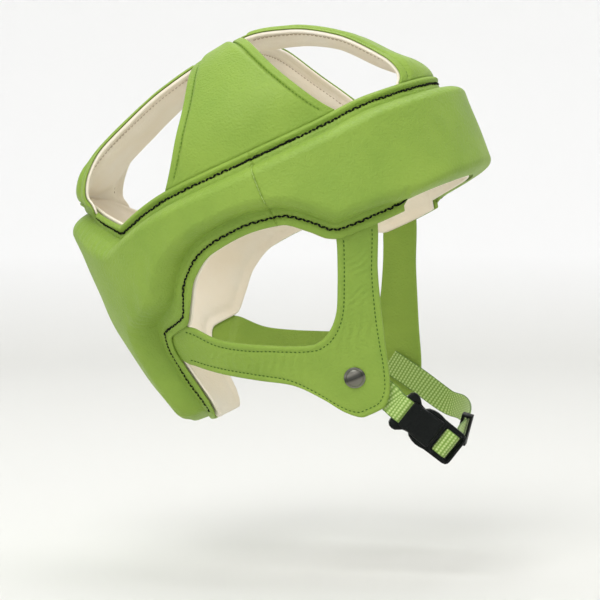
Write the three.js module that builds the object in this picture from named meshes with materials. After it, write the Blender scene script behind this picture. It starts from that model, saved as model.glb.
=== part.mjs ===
// Soft protective helmet: a padded leather ring round the head, a padded cross of leather over the
// crown, leather straps that frame the ears, and a chin strap of webbing with a side-release buckle.
//
// Millimetres, +Z up. The helmet is drawn level in its own frame: x to the brow, y to the wearer's
// left, z up, with z = 0 at the ring's upper stitch line. It is then tilted back as it is worn, and
// the middle of the crown's underside, where it sits on the head, is the origin.
import * as THREE from "three";

const TILT = 22.5; // degrees that the helmet leans back
const GAP = 0.3; // clearance between touching pieces
const LINING_SLACK = 1.2; // clearance between the ring's foam and its lining
const LINING = 1.6; // wall of the cream lining
const LEATHER = 2.2; // wall of the ear straps
const SEWN_EDGE = 6; // ring's inside to the outside of its flat sewn edge
const TOP_EDGE_WIDTH = 8.5; // flat sewn edge along the top, across
const ROLL = 8; // distance over which the foam swells up from the sewn edge
const RAISED = 19.2; // ring's inside to the outside of the foam, at the sides
const REAR_EXTRA = 1.3; // more foam than that at the back, less at the brow
const SEAM = 86; // angle of the side seam between brow and back, degrees from the front
const TAB = 47; // angle at which the lower sewn edge begins
const DEGREE = 1.6; // ring's length for each degree, mm
const RAD = Math.PI / 180;

// Inside of the ring: how far it reaches to the front, to the rear and to each side of the axis.
const RING = [
  { height: -180, front: 93, rear: 75, half: 51 },
  { height: -132, front: 100, rear: 87, half: 62 },
  { height: -100, front: 103, rear: 96.5, half: 71 },
  { height: -75, front: 105, rear: 102, half: 77 },
  { height: -50, front: 106, rear: 105, half: 80.5 },
  { height: -20, front: 106, rear: 106, half: 81 },
  { height: 5, front: 106, rear: 108, half: 79.5 },
  { height: 25, front: 104, rear: 114, half: 77 },
];

// Upper edge of the ring, dipping to a V behind each ear and climbing again to the back.
const V_NOTCH = 141;
const TOP_SIDE = [
  { angle: 0, height: 4.8 },
  { angle: 44, height: 4.6 },
  { angle: 66, height: 0.8 },
  { angle: 91, height: -1.5 },
  { angle: 114, height: -2.5 },
  { angle: V_NOTCH, height: -9 },
];
const TOP_REAR = [
  { angle: V_NOTCH, height: -9 },
  { angle: 154, height: 4.5 },
  { angle: 166, height: 16 },
  { angle: 180, height: 19.5 },
];

// Lower edge: straight under the brow, arched over the ear, then down to the nape.
const BOTTOM = [
  { angle: 0, height: -60 },
  { angle: TAB - 0.4, height: -60 },
  { angle: TAB + 0.4, height: -65.3 },
  { angle: 69, height: -66.7 },
  { angle: 73.5, height: -64 },
  { angle: 78, height: -56.5 },
  { angle: 85, height: -47 },
  { angle: 96, height: -44.3 },
  { angle: 108.5, height: -47.3 },
  { angle: 118, height: -56.6 },
  { angle: 125.5, height: -70 },
  { angle: 132.5, height: -78 },
  { angle: 145, height: -97 },
  { angle: 149.5, height: -112 },
  { angle: 152, height: -125 },
  { angle: 156, height: -131.5 },
  { angle: 180, height: -133 },
];

// Groove along the lower side of the foam, above the sewn edge, and the share of the foam's
// thickness that stands up bluntly there.
const GROOVE = [
  { angle: 0, height: -60, blunt: 0.55 },
  { angle: 46, height: -60, blunt: 0.55 },
  { angle: 56, height: -57.5, blunt: 0.5 },
  { angle: 69, height: -58, blunt: 0.35 },
  { angle: 73, height: -53, blunt: 0.2 },
  { angle: 77, height: -46, blunt: 0.1 },
  { angle: 85, height: -36.5, blunt: 0 },
  { angle: 95, height: -33, blunt: 0 },
  { angle: 104, height: -34.5, blunt: 0 },
  { angle: 113, height: -42, blunt: 0 },
  { angle: 122, height: -56, blunt: 0 },
  { angle: 131, height: -68, blunt: 0 },
  { angle: 146, height: -86, blunt: 0 },
  { angle: 153, height: -102, blunt: 0 },
  { angle: 158, height: -118, blunt: 0.2 },
  { angle: 164, height: -127, blunt: 0.45 },
  { angle: 180, height: -130, blunt: 0.5 },
];

// Underside of the crown along the middle, and the line on which it meets the ring.
const CROWN = [
  { along: -113, middle: 20.3, rim: 20 },
  { along: -104, middle: 27, rim: 13 },
  { along: -95, middle: 33, rim: 4 },
  { along: -84, middle: 40, rim: -5 },
  { along: -66, middle: 47.5, rim: -3.9 },
  { along: -36, middle: 57, rim: -1.9 },
  { along: 0, middle: 62, rim: -1.1 },
  { along: 20, middle: 62.8, rim: -0.2 },
  { along: 44, middle: 57.5, rim: 1.2 },
  { along: 68, middle: 44.5, rim: 4.1 },
  { along: 89, middle: 21.5, rim: 5.4 },
  { along: 106, middle: 5.8, rim: 5.4 },
];
const CROWN_FRONT = 106;
const CROWN_REAR = 113;
const CROWN_HALF = 79.5;
const CROWN_EDGE = 4.6; // underside to the outside of a flat sewn margin
const CROWN_PAD = 8.5; // underside to the outside of the foam
const CROWN_MARGIN = 5; // flat margin, across
const CROWN_ROLL = 5; // distance over which the crown's foam swells up
const CROWN_TAPER = 0.3; // share of a crown piece's length over which it thins out to the ring
const CROWN_END = 4.2; // underside to the outside where it meets the ring
const LINING_PUFF = 2.5; // how far the lining swells towards the head

// The saddle over the top: where its edges lie on the middle line and at the ring.
const SADDLE = { frontTop: 14, rearTop: -21, frontRim: 58, rearRim: -44 };

// Half widths of the two straps, from the saddle out to the ring.
const FRONT_STRAP = [
  { out: 0, half: 30 },
  { out: 0.5, half: 30.5 },
  { out: 0.8, half: 33 },
  { out: 1, half: 38 },
];
const REAR_STRAP = [
  { out: 0, half: 29 },
  { out: 0.4, half: 36 },
  { out: 1, half: 42 },
];

// Ear strap, from the temple down to the cheek and back to the nape: the edge beside the ear and
// the outer edge, each by its angle from the front and its height on the ring's inside.
const EAR_STRAP = [
  { earAngle: 71.4, earHeight: -67.1, outAngle: 57, outHeight: -67.1 },
  { earAngle: 76.5, earHeight: -90, outAngle: 62.5, outHeight: -90 },
  { earAngle: 80.4, earHeight: -104, outAngle: 66, outHeight: -109 },
  { earAngle: 83.6, earHeight: -110.5, outAngle: 69.4, outHeight: -129 },
  { earAngle: 86.5, earHeight: -114, outAngle: 72.5, outHeight: -149 },
  { earAngle: 88.8, earHeight: -115.5, outAngle: 75, outHeight: -159 },
  { earAngle: 91.3, earHeight: -116, outAngle: 79.5, outHeight: -165 },
  { earAngle: 94, earHeight: -115, outAngle: 85.5, outHeight: -165.5 },
  { earAngle: 97.5, earHeight: -113, outAngle: 91.5, outHeight: -159 },
  { earAngle: 102, earHeight: -110, outAngle: 97.5, outHeight: -146 },
  { earAngle: 107.5, earHeight: -106, outAngle: 105.5, outHeight: -132 },
  { earAngle: 113.5, earHeight: -101.5, outAngle: 118, outHeight: -121 },
  { earAngle: 124, earHeight: -92, outAngle: 132.5, outHeight: -109 },
  { earAngle: 132.2, earHeight: -79, outAngle: 143.8, outHeight: -97 },
];
const RIVET = { angle: 83.5, height: -142, diameter: 12.4, rise: 2.6 };

// Chin strap: webbing size, and the closed buckle's place on the right cheek.
const WEB = { width: 15, thickness: 1.5 };
const BUCKLE = {
  bar: new THREE.Vector3(28.4, -51, -170), // middle of the bar that the webbing is sewn round
  end: new THREE.Vector3(46.2, -43.5, -202.7), // middle of the far end
  across: new THREE.Vector3(0.845, 0.124, 0.518), // direction of its width
  thickness: 5,
};
const FACE_CLEAR = BUCKLE.thickness / 2 + 2 * GAP + WEB.thickness / 2;

// Route of the webbing from the plug under the chin to the left cheek, with the lean of its width.
const CHIN_ROUTE = [
  { x: 45, y: -22, z: -197, lean: 46 },
  { x: 49, y: 0, z: -195, lean: 38 },
  { x: 50, y: 20, z: -190, lean: 34 },
  { x: 45, y: 40, z: -184, lean: 36 },
  { x: 36, y: 52, z: -178, lean: 40 },
];
// Where the webbing lies behind an ear strap: at the rivet and just before it comes out.
const CHEEK_ROUTE = [
  { angle: 83.5, height: -142 },
  { angle: 75.6, height: -159 },
];
const CHEEK_LEAN = 42;
const CHEEK_SINK = 1.8; // ear strap's inside to the middle of the webbing behind it
const SLIDER = { step: 41, width: 18.8, height: 6.4, length: 6, wall: 1.6 };

const COLOUR = {
  leather: { color: 0x7fae3c, roughness: 0.5, metalness: 0 },
  lining: { color: 0xe8dcc4, roughness: 0.8, metalness: 0 },
  webbing: { color: 0x86b04a, roughness: 0.75, metalness: 0 },
  plastic: { color: 0x17181b, roughness: 0.4, metalness: 0 },
  metal: { color: 0x8c8a86, roughness: 0.35, metalness: 1 },
};

const { clamp, lerp } = THREE.MathUtils;

// Smooth curve through two columns of a table, with no overshoot between its rows.
function curve(rows, from, to) {
  const xs = rows.map((row) => row[from]);
  const ys = rows.map((row) => row[to]);
  const slopes = xs.slice(1).map((x, i) => (ys[i + 1] - ys[i]) / (x - xs[i]));
  const tangents = ys.map((_, i) => {
    const before = slopes[Math.max(i - 1, 0)];
    const after = slopes[Math.min(i, slopes.length - 1)];
    return before * after <= 0 ? 0 : (2 * before * after) / (before + after);
  });
  return (value) => {
    const x = clamp(value, xs[0], xs.at(-1));
    const i = Math.max(xs.findIndex((knot) => x <= knot) - 1, 0);
    const step = xs[i + 1] - xs[i];
    const t = (x - xs[i]) / step;
    const rest = 1 - t;
    return (
      ys[i] * rest * rest * (1 + 2 * t) +
      tangents[i] * step * t * rest * rest +
      ys[i + 1] * t * t * (3 - 2 * t) -
      tangents[i + 1] * step * t * t * rest
    );
  };
}

// Evenly spaced values over joined ranges, each given by its end and its number of steps.
function stops(start, ...ranges) {
  const values = [start];
  for (const [end, steps] of ranges) {
    const from = values.at(-1);
    for (let i = 1; i <= steps; i += 1) values.push(lerp(from, end, i / steps));
  }
  return values;
}

// Stops from the right side to the left one, from those of one half.
function bothSides(half) {
  const right = half.filter((value) => value > 0).map((value) => -value);
  return [...right.reverse(), ...half];
}

// Closed wall between an outer and an inner grid of points, whose rows turn left seen from outside.
function wall(outer, inner) {
  const columns = outer.length;
  const rows = outer[0].length;
  const points = [...outer.flat(), ...inner.flat()];
  const out = (i, j) => i * rows + j;
  const back = (i, j) => columns * rows + i * rows + j;
  const faces = [];
  const quad = (a, b, c, d) => faces.push(a, b, c, a, c, d);
  for (let i = 0; i < columns - 1; i += 1) {
    for (let j = 0; j < rows - 1; j += 1) {
      quad(out(i, j), out(i + 1, j), out(i + 1, j + 1), out(i, j + 1));
      quad(back(i, j), back(i, j + 1), back(i + 1, j + 1), back(i + 1, j));
    }
    quad(back(i, 0), back(i + 1, 0), out(i + 1, 0), out(i, 0));
    quad(out(i, rows - 1), out(i + 1, rows - 1), back(i + 1, rows - 1), back(i, rows - 1));
  }
  for (let j = 0; j < rows - 1; j += 1) {
    quad(back(0, j), out(0, j), out(0, j + 1), back(0, j + 1));
    quad(out(columns - 1, j), back(columns - 1, j), back(columns - 1, j + 1), out(columns - 1, j + 1));
  }
  const geometry = new THREE.BufferGeometry().setFromPoints(points);
  geometry.setIndex(faces);
  return geometry;
}

// The same wall on the wearer's other side.
function mirrored(geometry) {
  const copy = geometry.clone().scale(1, -1, 1);
  const index = copy.getIndex();
  for (let i = 0; i < index.count; i += 3) {
    const second = index.getX(i + 1);
    index.setX(i + 1, index.getX(i + 2));
    index.setX(i + 2, second);
  }
  return copy;
}

function mesh(name, geometry, look) {
  const piece = new THREE.Mesh(geometry, new THREE.MeshStandardMaterial(COLOUR[look]));
  piece.name = name;
  return piece;
}

// Points of a surface on a grid, moved by lift(u, v) along its normal, turned by a share to point
// level away from the axis.
function lifted(pairs, surface, lift, levelShare = () => 0) {
  const step = 1e-3;
  return pairs.map((column) =>
    column.map(([u, v]) => {
      const along = surface(u + step, v).sub(surface(u - step, v));
      const across = surface(u, v + step).sub(surface(u, v - step));
      const at = surface(u, v);
      const level = new THREE.Vector3(at.x, at.y, 0).normalize();
      const normal = along.cross(across).normalize().lerp(level, levelShare(u, v)).normalize();
      return at.addScaledVector(normal, lift(u, v));
    }),
  );
}

// Quarter round from 0 to 1 with an upright start, as foam swells up beside a stitch.
function swell(share) {
  const x = clamp(share, 0, 1);
  return Math.sqrt(1 - (1 - x) ** 2);
}

const ringFront = curve(RING, "height", "front");
const ringRear = curve(RING, "height", "rear");
const ringHalf = curve(RING, "height", "half");
const topSide = curve(TOP_SIDE, "angle", "height");
const topRear = curve(TOP_REAR, "angle", "height");
const bottomOf = curve(BOTTOM, "angle", "height");
const grooveOf = curve(GROOVE, "angle", "height");
const bluntOf = curve(GROOVE, "angle", "blunt");

function topOf(angle) {
  return angle < V_NOTCH ? topSide(angle) : topRear(angle);
}

// Point of the ring at an angle from the front (positive to the left), a height and a lift.
function ringPoint(angle, height, lift) {
  const forward = Math.cos(angle * RAD);
  const reach = forward > 0 ? ringFront(height) : ringRear(height);
  const side = ringHalf(height) + lift;
  return new THREE.Vector3((reach + lift) * forward, side * Math.sin(angle * RAD), height);
}

function ringNormal(angle, height) {
  const at = ringPoint(angle, height, 0);
  const round = ringPoint(angle + 1, height, 0).sub(at);
  const up = ringPoint(angle, height + 1, 0).sub(at);
  return round.cross(up).normalize();
}

// Shortest way from a point of the ring's laid-out pattern to one of its edges.
function distanceTo(edge, angle, height) {
  const point = new THREE.Vector2(Math.abs(angle) * DEGREE, height);
  let nearest = Infinity;
  for (let degree = 0; degree < 180; degree += 1) {
    const start = new THREE.Vector2(degree * DEGREE, edge(degree));
    const side = new THREE.Vector2((degree + 1) * DEGREE, edge(degree + 1)).sub(start);
    const share = clamp(point.clone().sub(start).dot(side) / side.lengthSq(), 0, 1);
    nearest = Math.min(nearest, start.addScaledVector(side, share).distanceTo(point));
  }
  return nearest;
}

// Outside of the leather: flat at the sewn edges, swollen by foam between them.
function foamLift(angle, height) {
  const inFoam = height >= grooveOf(Math.abs(angle)) ? 1 : 0;
  const fromGroove = inFoam * distanceTo(grooveOf, angle, height);
  const fromTop = distanceTo(topOf, angle, height);
  const blunt = inFoam * bluntOf(Math.abs(angle));
  const low = blunt + (1 - blunt) * swell(fromGroove / ROLL);
  const high = swell((fromTop - TOP_EDGE_WIDTH) / ROLL);
  const full = RAISED - REAR_EXTRA * Math.cos(angle * RAD);
  return SEWN_EDGE + (full - SEWN_EDGE) * Math.min(low, high);
}

// Heights of a ring column, close together where the foam swells up.
const ABOVE_GROOVE = [-0.6, 0, 0.8, 3, 8];
const BELOW_TOP = [16.5, 11.5, 9.3, 8.5, 0];

function ringColumn(angle) {
  const edge = bottomOf(Math.abs(angle));
  const groove = Math.max(grooveOf(Math.abs(angle)), edge + 1.2);
  const lower = [edge, ...ABOVE_GROOVE.map((step) => groove + step)];
  const upper = BELOW_TOP.map((step) => topOf(Math.abs(angle)) - step);
  const [low, high] = [lower.at(-1), upper[0]];
  return [...lower, lerp(low, high, 1 / 3), lerp(low, high, 2 / 3), ...upper];
}

function liningColumn(angle) {
  return stops(bottomOf(Math.abs(angle)), [topOf(Math.abs(angle)), 5]);
}

// Point on the flat facets that the lining's few rows make, so that the padding lies evenly on it.
function facetPoint(angle, height, lift) {
  const rows = liningColumn(angle);
  const i = clamp(rows.findIndex((row) => height <= row) - 1, 0, rows.length - 2);
  const share = (height - rows[i]) / (rows[i + 1] - rows[i]);
  return ringPoint(angle, rows[i], lift).lerp(ringPoint(angle, rows[i + 1], lift), share);
}

function padding(angles) {
  const outer = angles.map((a) => ringColumn(a).map((h) => ringPoint(a, h, foamLift(a, h))));
  const inner = angles.map((a) => ringColumn(a).map((h) => facetPoint(a, h, LINING + LINING_SLACK)));
  return wall(outer, inner);
}

function ringLining(angles) {
  const outer = angles.map((a) => liningColumn(a).map((h) => ringPoint(a, h, LINING)));
  const inner = angles.map((a) => liningColumn(a).map((h) => ringPoint(a, h, 0)));
  return wall(outer, inner);
}

const seamGap = GAP / 2 / DEGREE;
const browAngles = bothSides(stops(0, [TAB - 0.4, 5], [TAB + 0.4, 1], [69, 4], [SEAM - seamGap, 4]));
const halfBack = stops(SEAM + seamGap, [124, 6], [146, 7], [150, 3], [157, 6], [180, 4]);
const backAngles = [...halfBack, ...halfBack.slice(0, -1).reverse().map((angle) => -angle)];

const crownMiddle = curve(CROWN, "along", "middle");
const crownRim = curve(CROWN, "along", "rim");

// Half width of the ring at a place along the crown.
function rimHalf(along) {
  const reach = along > 0 ? CROWN_FRONT : CROWN_REAR;
  return CROWN_HALF * Math.sqrt(Math.max(1 - (along / reach) ** 2, 1e-6));
}

// Underside of the crown: each cross section is a quarter ellipse from its middle to the rim.
function crownPoint(along, turn) {
  const rim = crownRim(along);
  const height = rim + (crownMiddle(along) - rim) * Math.cos(turn);
  return new THREE.Vector3(along, rimHalf(along) * Math.sin(turn), height);
}

// Saddle: u runs from the right rim (-1) to the left one (1), v from its front edge to its rear one.
function saddlePoint(u, v) {
  const turn = (u * Math.PI) / 2;
  const drop = 1 - Math.cos(turn);
  const top = lerp(SADDLE.frontTop, SADDLE.rearTop, v);
  const rim = lerp(SADDLE.frontRim, SADDLE.rearRim, v);
  return crownPoint(lerp(top, rim, drop), turn);
}

// Place along the crown of the saddle's front or rear edge, at a distance from the middle line.
function saddleEdge(side, atTop, atRim) {
  let along = atTop;
  for (let round = 0; round < 6; round += 1) {
    const sine = clamp(side / rimHalf(along), -1, 1);
    along = lerp(atTop, atRim, 1 - Math.sqrt(1 - sine * sine));
  }
  return along;
}

// Strap: u runs from its right edge (-1) to its left one (1), v from the saddle (0) to the ring (1).
function strapPoint(u, v, halfWidth, atTop, atRim, reach) {
  const side = u * halfWidth(v);
  const start = saddleEdge(side, atTop, atRim) + Math.sign(reach) * 2 * GAP;
  const end = reach * Math.sqrt(1 - (side / CROWN_HALF) ** 2);
  const along = lerp(start, end, Math.sin((v * Math.PI) / 2));
  const turn = Math.asin(clamp(side / rimHalf(along), -1, 1));
  return crownPoint(along, turn);
}

// Outside and underside of a padded crown piece, from the distance to its flat margins.
function crownSwell(distance) {
  return swell((distance - CROWN_MARGIN) / CROWN_ROLL);
}

function crownCover(distance) {
  return lerp(CROWN_EDGE, CROWN_PAD, crownSwell(distance));
}

function crownUnder(distance) {
  return -LINING_PUFF * crownSwell(distance);
}

// Shares across a piece of a given width, close together at its margins.
function acrossShares(width) {
  const margin = [0, CROWN_MARGIN, CROWN_MARGIN + 1.2, CROWN_MARGIN + CROWN_ROLL];
  const first = [...margin.map((distance) => distance / width), 0.31];
  return [...first, 0.5, ...first.toReversed().map((share) => 1 - share)];
}

// How far a crown piece has thinned out towards the ring, from its share of the way there.
function endShare(way) {
  return THREE.MathUtils.smoothstep(way, 1 - CROWN_TAPER, 1);
}

// Padded cover and lining of a crown piece, as two walls.
function crownWalls(pairs, surface, marginDistance, wayToRing) {
  const end = (u, v) => endShare(wayToRing(u, v));
  const cover = (u, v) => lerp(crownCover(marginDistance(u, v)), CROWN_END, end(u, v));
  const under = (u, v) => crownUnder(marginDistance(u, v)) * (1 - end(u, v));
  const layer = (lift) => lifted(pairs, surface, lift, end);
  return {
    cover: wall(layer(cover), layer((u, v) => under(u, v) + LINING + GAP)),
    lining: wall(layer((u, v) => under(u, v) + LINING), layer(under)),
  };
}

function saddleWidth(u) {
  return saddlePoint(u, 0).distanceTo(saddlePoint(u, 1));
}

function saddleWalls() {
  const reach = 0.998;
  const pairs = stops(-reach, [reach, 16]).map((u) => acrossShares(saddleWidth(u)).map((v) => [u, v]));
  const marginDistance = (u, v) => Math.min(v, 1 - v) * saddleWidth(u);
  return crownWalls(pairs, saddlePoint, marginDistance, Math.abs);
}

function strapWalls(table, atTop, atRim, reach) {
  const halfWidth = curve(table, "out", "half");
  const outwards = Math.sign(reach);
  const surface = (u, v) => strapPoint(u * outwards, v, halfWidth, atTop, atRim, reach);
  const lengths = stops(0.01, [0.985, 9]);
  const shares = acrossShares(2 * halfWidth(0.3));
  const pairs = lengths.map((v) => shares.map((share) => [2 * share - 1, v]));
  const turned = (u, v) => surface(v, u);
  const swapped = pairs.map((column) => column.map(([u, v]) => [v, u]));
  return crownWalls(swapped, turned, (v, u) => (1 - Math.abs(u)) * halfWidth(v), (v) => v);
}

// Ear strap: u runs along it from the temple to the nape, v from the ear to the outer edge.
const earRows = EAR_STRAP.map((row, i) => ({ ...row, place: i / (EAR_STRAP.length - 1) }));
const earAngle = curve(earRows, "place", "earAngle");
const earHeight = curve(earRows, "place", "earHeight");
const outAngle = curve(earRows, "place", "outAngle");
const outHeight = curve(earRows, "place", "outHeight");

function earStrapPoint(u, v) {
  const angle = lerp(earAngle(u), outAngle(u), v);
  const height = lerp(earHeight(u), outHeight(u), v);
  return ringPoint(-angle, height, 0);
}

function earStrapWall() {
  const shares = stops(0, [1, 4]);
  const pairs = stops(0, [1, 25]).map((u) => shares.map((v) => [u, v]));
  return wall(lifted(pairs, earStrapPoint, () => LEATHER), lifted(pairs, earStrapPoint, () => 0));
}

// Domed rivet cap, lying flat on the ear strap at the cheek.
function rivet(name, side) {
  const radius = RIVET.diameter / 2;
  const profile = [new THREE.Vector2(0, 0), new THREE.Vector2(radius, 0)];
  for (const share of [0.25, 0.5, 0.75, 1]) {
    const turn = (share * Math.PI) / 2;
    profile.push(new THREE.Vector2(radius * Math.cos(turn) ** 0.8, RIVET.rise * Math.sin(turn)));
  }
  profile[profile.length - 1].x = 0;
  const cap = mesh(name, new THREE.LatheGeometry(profile, 20), "metal");
  const normal = ringNormal(side * RIVET.angle, RIVET.height);
  cap.quaternion.setFromUnitVectors(new THREE.Vector3(0, 1, 0), normal);
  cap.position.copy(ringPoint(side * RIVET.angle, RIVET.height, 0));
  cap.position.addScaledVector(normal, LEATHER + GAP);
  return cap;
}

// Buckle frame: x along it from the sewn bar to the far end, y across, z out from the cheek.
const buckleAlong = BUCKLE.end.clone().sub(BUCKLE.bar).normalize();
const buckleOut = new THREE.Vector3().crossVectors(buckleAlong, BUCKLE.across).normalize();
const buckleAcross = new THREE.Vector3().crossVectors(buckleOut, buckleAlong);
const buckleBasis = new THREE.Matrix4().makeBasis(buckleAlong, buckleAcross, buckleOut);

function onBuckle(along, out) {
  return BUCKLE.bar.clone().addScaledVector(buckleAlong, along).addScaledVector(buckleOut, out);
}

// Outline with two like halves, from the points of its upper half.
function evenOutline(half) {
  const points = half.map(([x, y]) => new THREE.Vector2(x, y));
  const lower = half.toReversed().map(([x, y]) => new THREE.Vector2(x, -y));
  return new THREE.Shape([...points, ...lower]);
}

function slot({ from, to, half }) {
  const corners = [[from, -half], [to, -half], [to, half], [from, half]];
  return new THREE.Path(corners.map(([x, y]) => new THREE.Vector2(x, y)));
}

function plate(shape, thickness) {
  const geometry = new THREE.ExtrudeGeometry(shape, { depth: thickness, bevelEnabled: false });
  return geometry.translate(0, 0, -thickness / 2);
}

const SOCKET_HALF = [
  [-2.3, 9], [-1.6, 10.9], [0.4, 11.8], [3, 11.4], [5.6, 9.6], [8.4, 8.9], [9.4, 8.6], [9.6, 6.6], [21.6, 6.6],
];
const PLUG_HALF = [
  [23.2, 6.2], [22.4, 6.9], [10.2, 6.9], [10.2, 8.2], [13, 9.2], [17, 9.4], [20, 8.8], [23, 9.2], [26, 9.9],
  [39, 9.9], [40, 8.9],
];
const SOCKET_SLOT = { from: 2, to: 6.4, half: 8.1 };
const PLUG_SLOTS = [{ from: 25.2, to: 29.2, half: 8.1 }, { from: 33.6, to: 37.6, half: 8.3 }];

function buckle() {
  const socket = evenOutline(SOCKET_HALF);
  socket.holes.push(slot(SOCKET_SLOT));
  const plug = evenOutline(PLUG_HALF);
  plug.holes.push(...PLUG_SLOTS.map(slot));
  const pair = new THREE.Group();
  pair.add(mesh("buckle_socket", plate(socket, BUCKLE.thickness), "plastic"));
  pair.add(mesh("buckle_plug", plate(plug, BUCKLE.thickness), "plastic"));
  pair.position.copy(BUCKLE.bar);
  pair.quaternion.setFromRotationMatrix(buckleBasis);
  return pair;
}

// Direction of the webbing's width: up, leaning forward by some degrees.
function leaning(degrees) {
  return new THREE.Vector3(Math.sin(degrees * RAD), 0, Math.cos(degrees * RAD));
}

// Frames of a strip along a smooth route: place, direction, width and face at each step.
function stripFrames(route, steps) {
  const path = new THREE.CatmullRomCurve3(route.map((stop) => stop.at), false, "centripetal");
  const last = route.length - 1;
  return stops(0, [1, steps]).map((t) => {
    const i = Math.min(Math.floor(t * last), last - 1);
    const along = path.getTangent(t);
    const across = route[i].across.clone().lerp(route[i + 1].across, t * last - i);
    across.addScaledVector(along, -across.dot(along)).normalize();
    return { at: path.getPoint(t), along, across, face: along.clone().cross(across) };
  });
}

function webbing(frames) {
  const side = (out) => frames.map(({ at, across, face }) => [-0.5, 0.5].map((share) =>
    at.clone().addScaledVector(across, share * WEB.width).addScaledVector(face, out * WEB.thickness)));
  return wall(side(0.5), side(-0.5));
}

// Stops of the webbing behind an ear strap, flat against it, on the right (-1) or the left (1).
function cheekStops(side) {
  return CHEEK_ROUTE.map(({ angle, height }) => {
    const normal = ringNormal(side * angle, height);
    const at = ringPoint(side * angle, height, 0).addScaledVector(normal, -CHEEK_SINK);
    const across = leaning(CHEEK_LEAN);
    return { at, across: across.addScaledVector(normal, -across.dot(normal)).normalize() };
  });
}

// Short webbing: from behind the right rivet, over the socket's bar and back under it.
function rightRoute() {
  const slotMiddle = (SOCKET_SLOT.from + SOCKET_SLOT.to) / 2;
  const sewn = [onBuckle(-6, 0.6), onBuckle(-1.6, FACE_CLEAR), onBuckle(1.6, FACE_CLEAR),
    onBuckle(slotMiddle, 1.6), onBuckle(slotMiddle, -1.6), onBuckle(1.6, -FACE_CLEAR),
    onBuckle(-1.6, -FACE_CLEAR), onBuckle(-9, -FACE_CLEAR + 0.6)];
  return [...cheekStops(-1), ...sewn.map((at) => ({ at, across: buckleAcross }))];
}

// Long webbing: its tail behind the plug, over the plug's bar, and under the chin to the left cheek.
function chinRoute() {
  const [first, second] = PLUG_SLOTS.map(({ from, to }) => (from + to) / 2);
  const threaded = [onBuckle(16, -FACE_CLEAR - 0.4), onBuckle(22, -FACE_CLEAR - 0.2),
    onBuckle(first - 1.2, -FACE_CLEAR), onBuckle(first, -1.6), onBuckle(first, 1.6),
    onBuckle(first + 2.2, FACE_CLEAR), onBuckle(second - 2.2, FACE_CLEAR), onBuckle(second, 1.6),
    onBuckle(second, -1.6), onBuckle(second + 0.4, -7)];
  const free = CHIN_ROUTE.map(({ x, y, z, lean }) => {
    return { at: new THREE.Vector3(x, y, z), across: leaning(lean) };
  });
  const start = threaded.map((at) => ({ at, across: buckleAcross }));
  return [...start, ...free, ...cheekStops(1).reverse()];
}

const RIGHT_STEPS = 27;
const CHIN_STEPS = 60;
const chinFrames = stripFrames(chinRoute(), CHIN_STEPS);

// Slider: a plastic loop round the long webbing.
function slider() {
  const outline = evenOutline([[-SLIDER.height / 2, SLIDER.width / 2], [SLIDER.height / 2, SLIDER.width / 2]]);
  const inside = SLIDER.height / 2 - SLIDER.wall;
  outline.holes.push(slot({ from: -inside, to: inside, half: SLIDER.width / 2 - SLIDER.wall }));
  const loop = mesh("strap_slider", plate(outline, SLIDER.length), "plastic");
  const { at, along, across, face } = chinFrames[SLIDER.step];
  loop.position.copy(at);
  loop.quaternion.setFromRotationMatrix(new THREE.Matrix4().makeBasis(face.clone().negate(), across, along));
  return loop;
}

function helmet() {
  const group = new THREE.Group();
  group.add(mesh("forehead_band", padding(browAngles), "leather"));
  group.add(mesh("forehead_lining", ringLining(browAngles), "lining"));
  group.add(mesh("occipital_pad", padding(backAngles), "leather"));
  group.add(mesh("occipital_lining", ringLining(backAngles), "lining"));
  const saddle = saddleWalls();
  const front = strapWalls(FRONT_STRAP, SADDLE.frontTop, SADDLE.frontRim, CROWN_FRONT);
  const rear = strapWalls(REAR_STRAP, SADDLE.rearTop, SADDLE.rearRim, -CROWN_REAR);
  for (const [name, walls] of [["crown_saddle", saddle], ["front_strap", front], ["rear_strap", rear]]) {
    group.add(mesh(name, walls.cover, "leather"));
    group.add(mesh(`${name.replace("crown_", "")}_lining`, walls.lining, "lining"));
  }
  const earStrap = earStrapWall();
  group.add(mesh("ear_strap_right", earStrap, "leather"));
  group.add(mesh("ear_strap_left", mirrored(earStrap), "leather"));
  group.add(rivet("rivet_right", -1));
  group.add(rivet("rivet_left", 1));
  group.add(mesh("webbing_right", webbing(stripFrames(rightRoute(), RIGHT_STEPS)), "webbing"));
  group.add(mesh("webbing_chin", webbing(chinFrames), "webbing"));
  group.add(buckle());
  group.add(slider());
  return group;
}

// The helmet leans back about the wearer's left-right axis, with its seat on the crown at the origin.
const worn = new THREE.Group();
const level = helmet();
const seat = new THREE.Vector3(0, 0, crownMiddle(0) - LINING_PUFF);
level.rotation.y = -TILT * RAD;
level.position.copy(seat).applyEuler(level.rotation).negate();
worn.add(level);

export default worn;
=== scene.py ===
# %% [markdown]
# # A soft protective helmet
# The helmet is sewn from soft green leather over foam, with a cream lining. Each piece below is a
# surface worked out with numpy on a grid, in the helmet's own millimetres, and then put into the
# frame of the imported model. The helmet's frame is level: x to the brow, y to the wearer's left, z up,
# with z = 0 at the upper line of black stitches.

# %% Load the frame
import bmesh
import bpy
import numpy as np
from mathutils import Matrix, Vector


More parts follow.
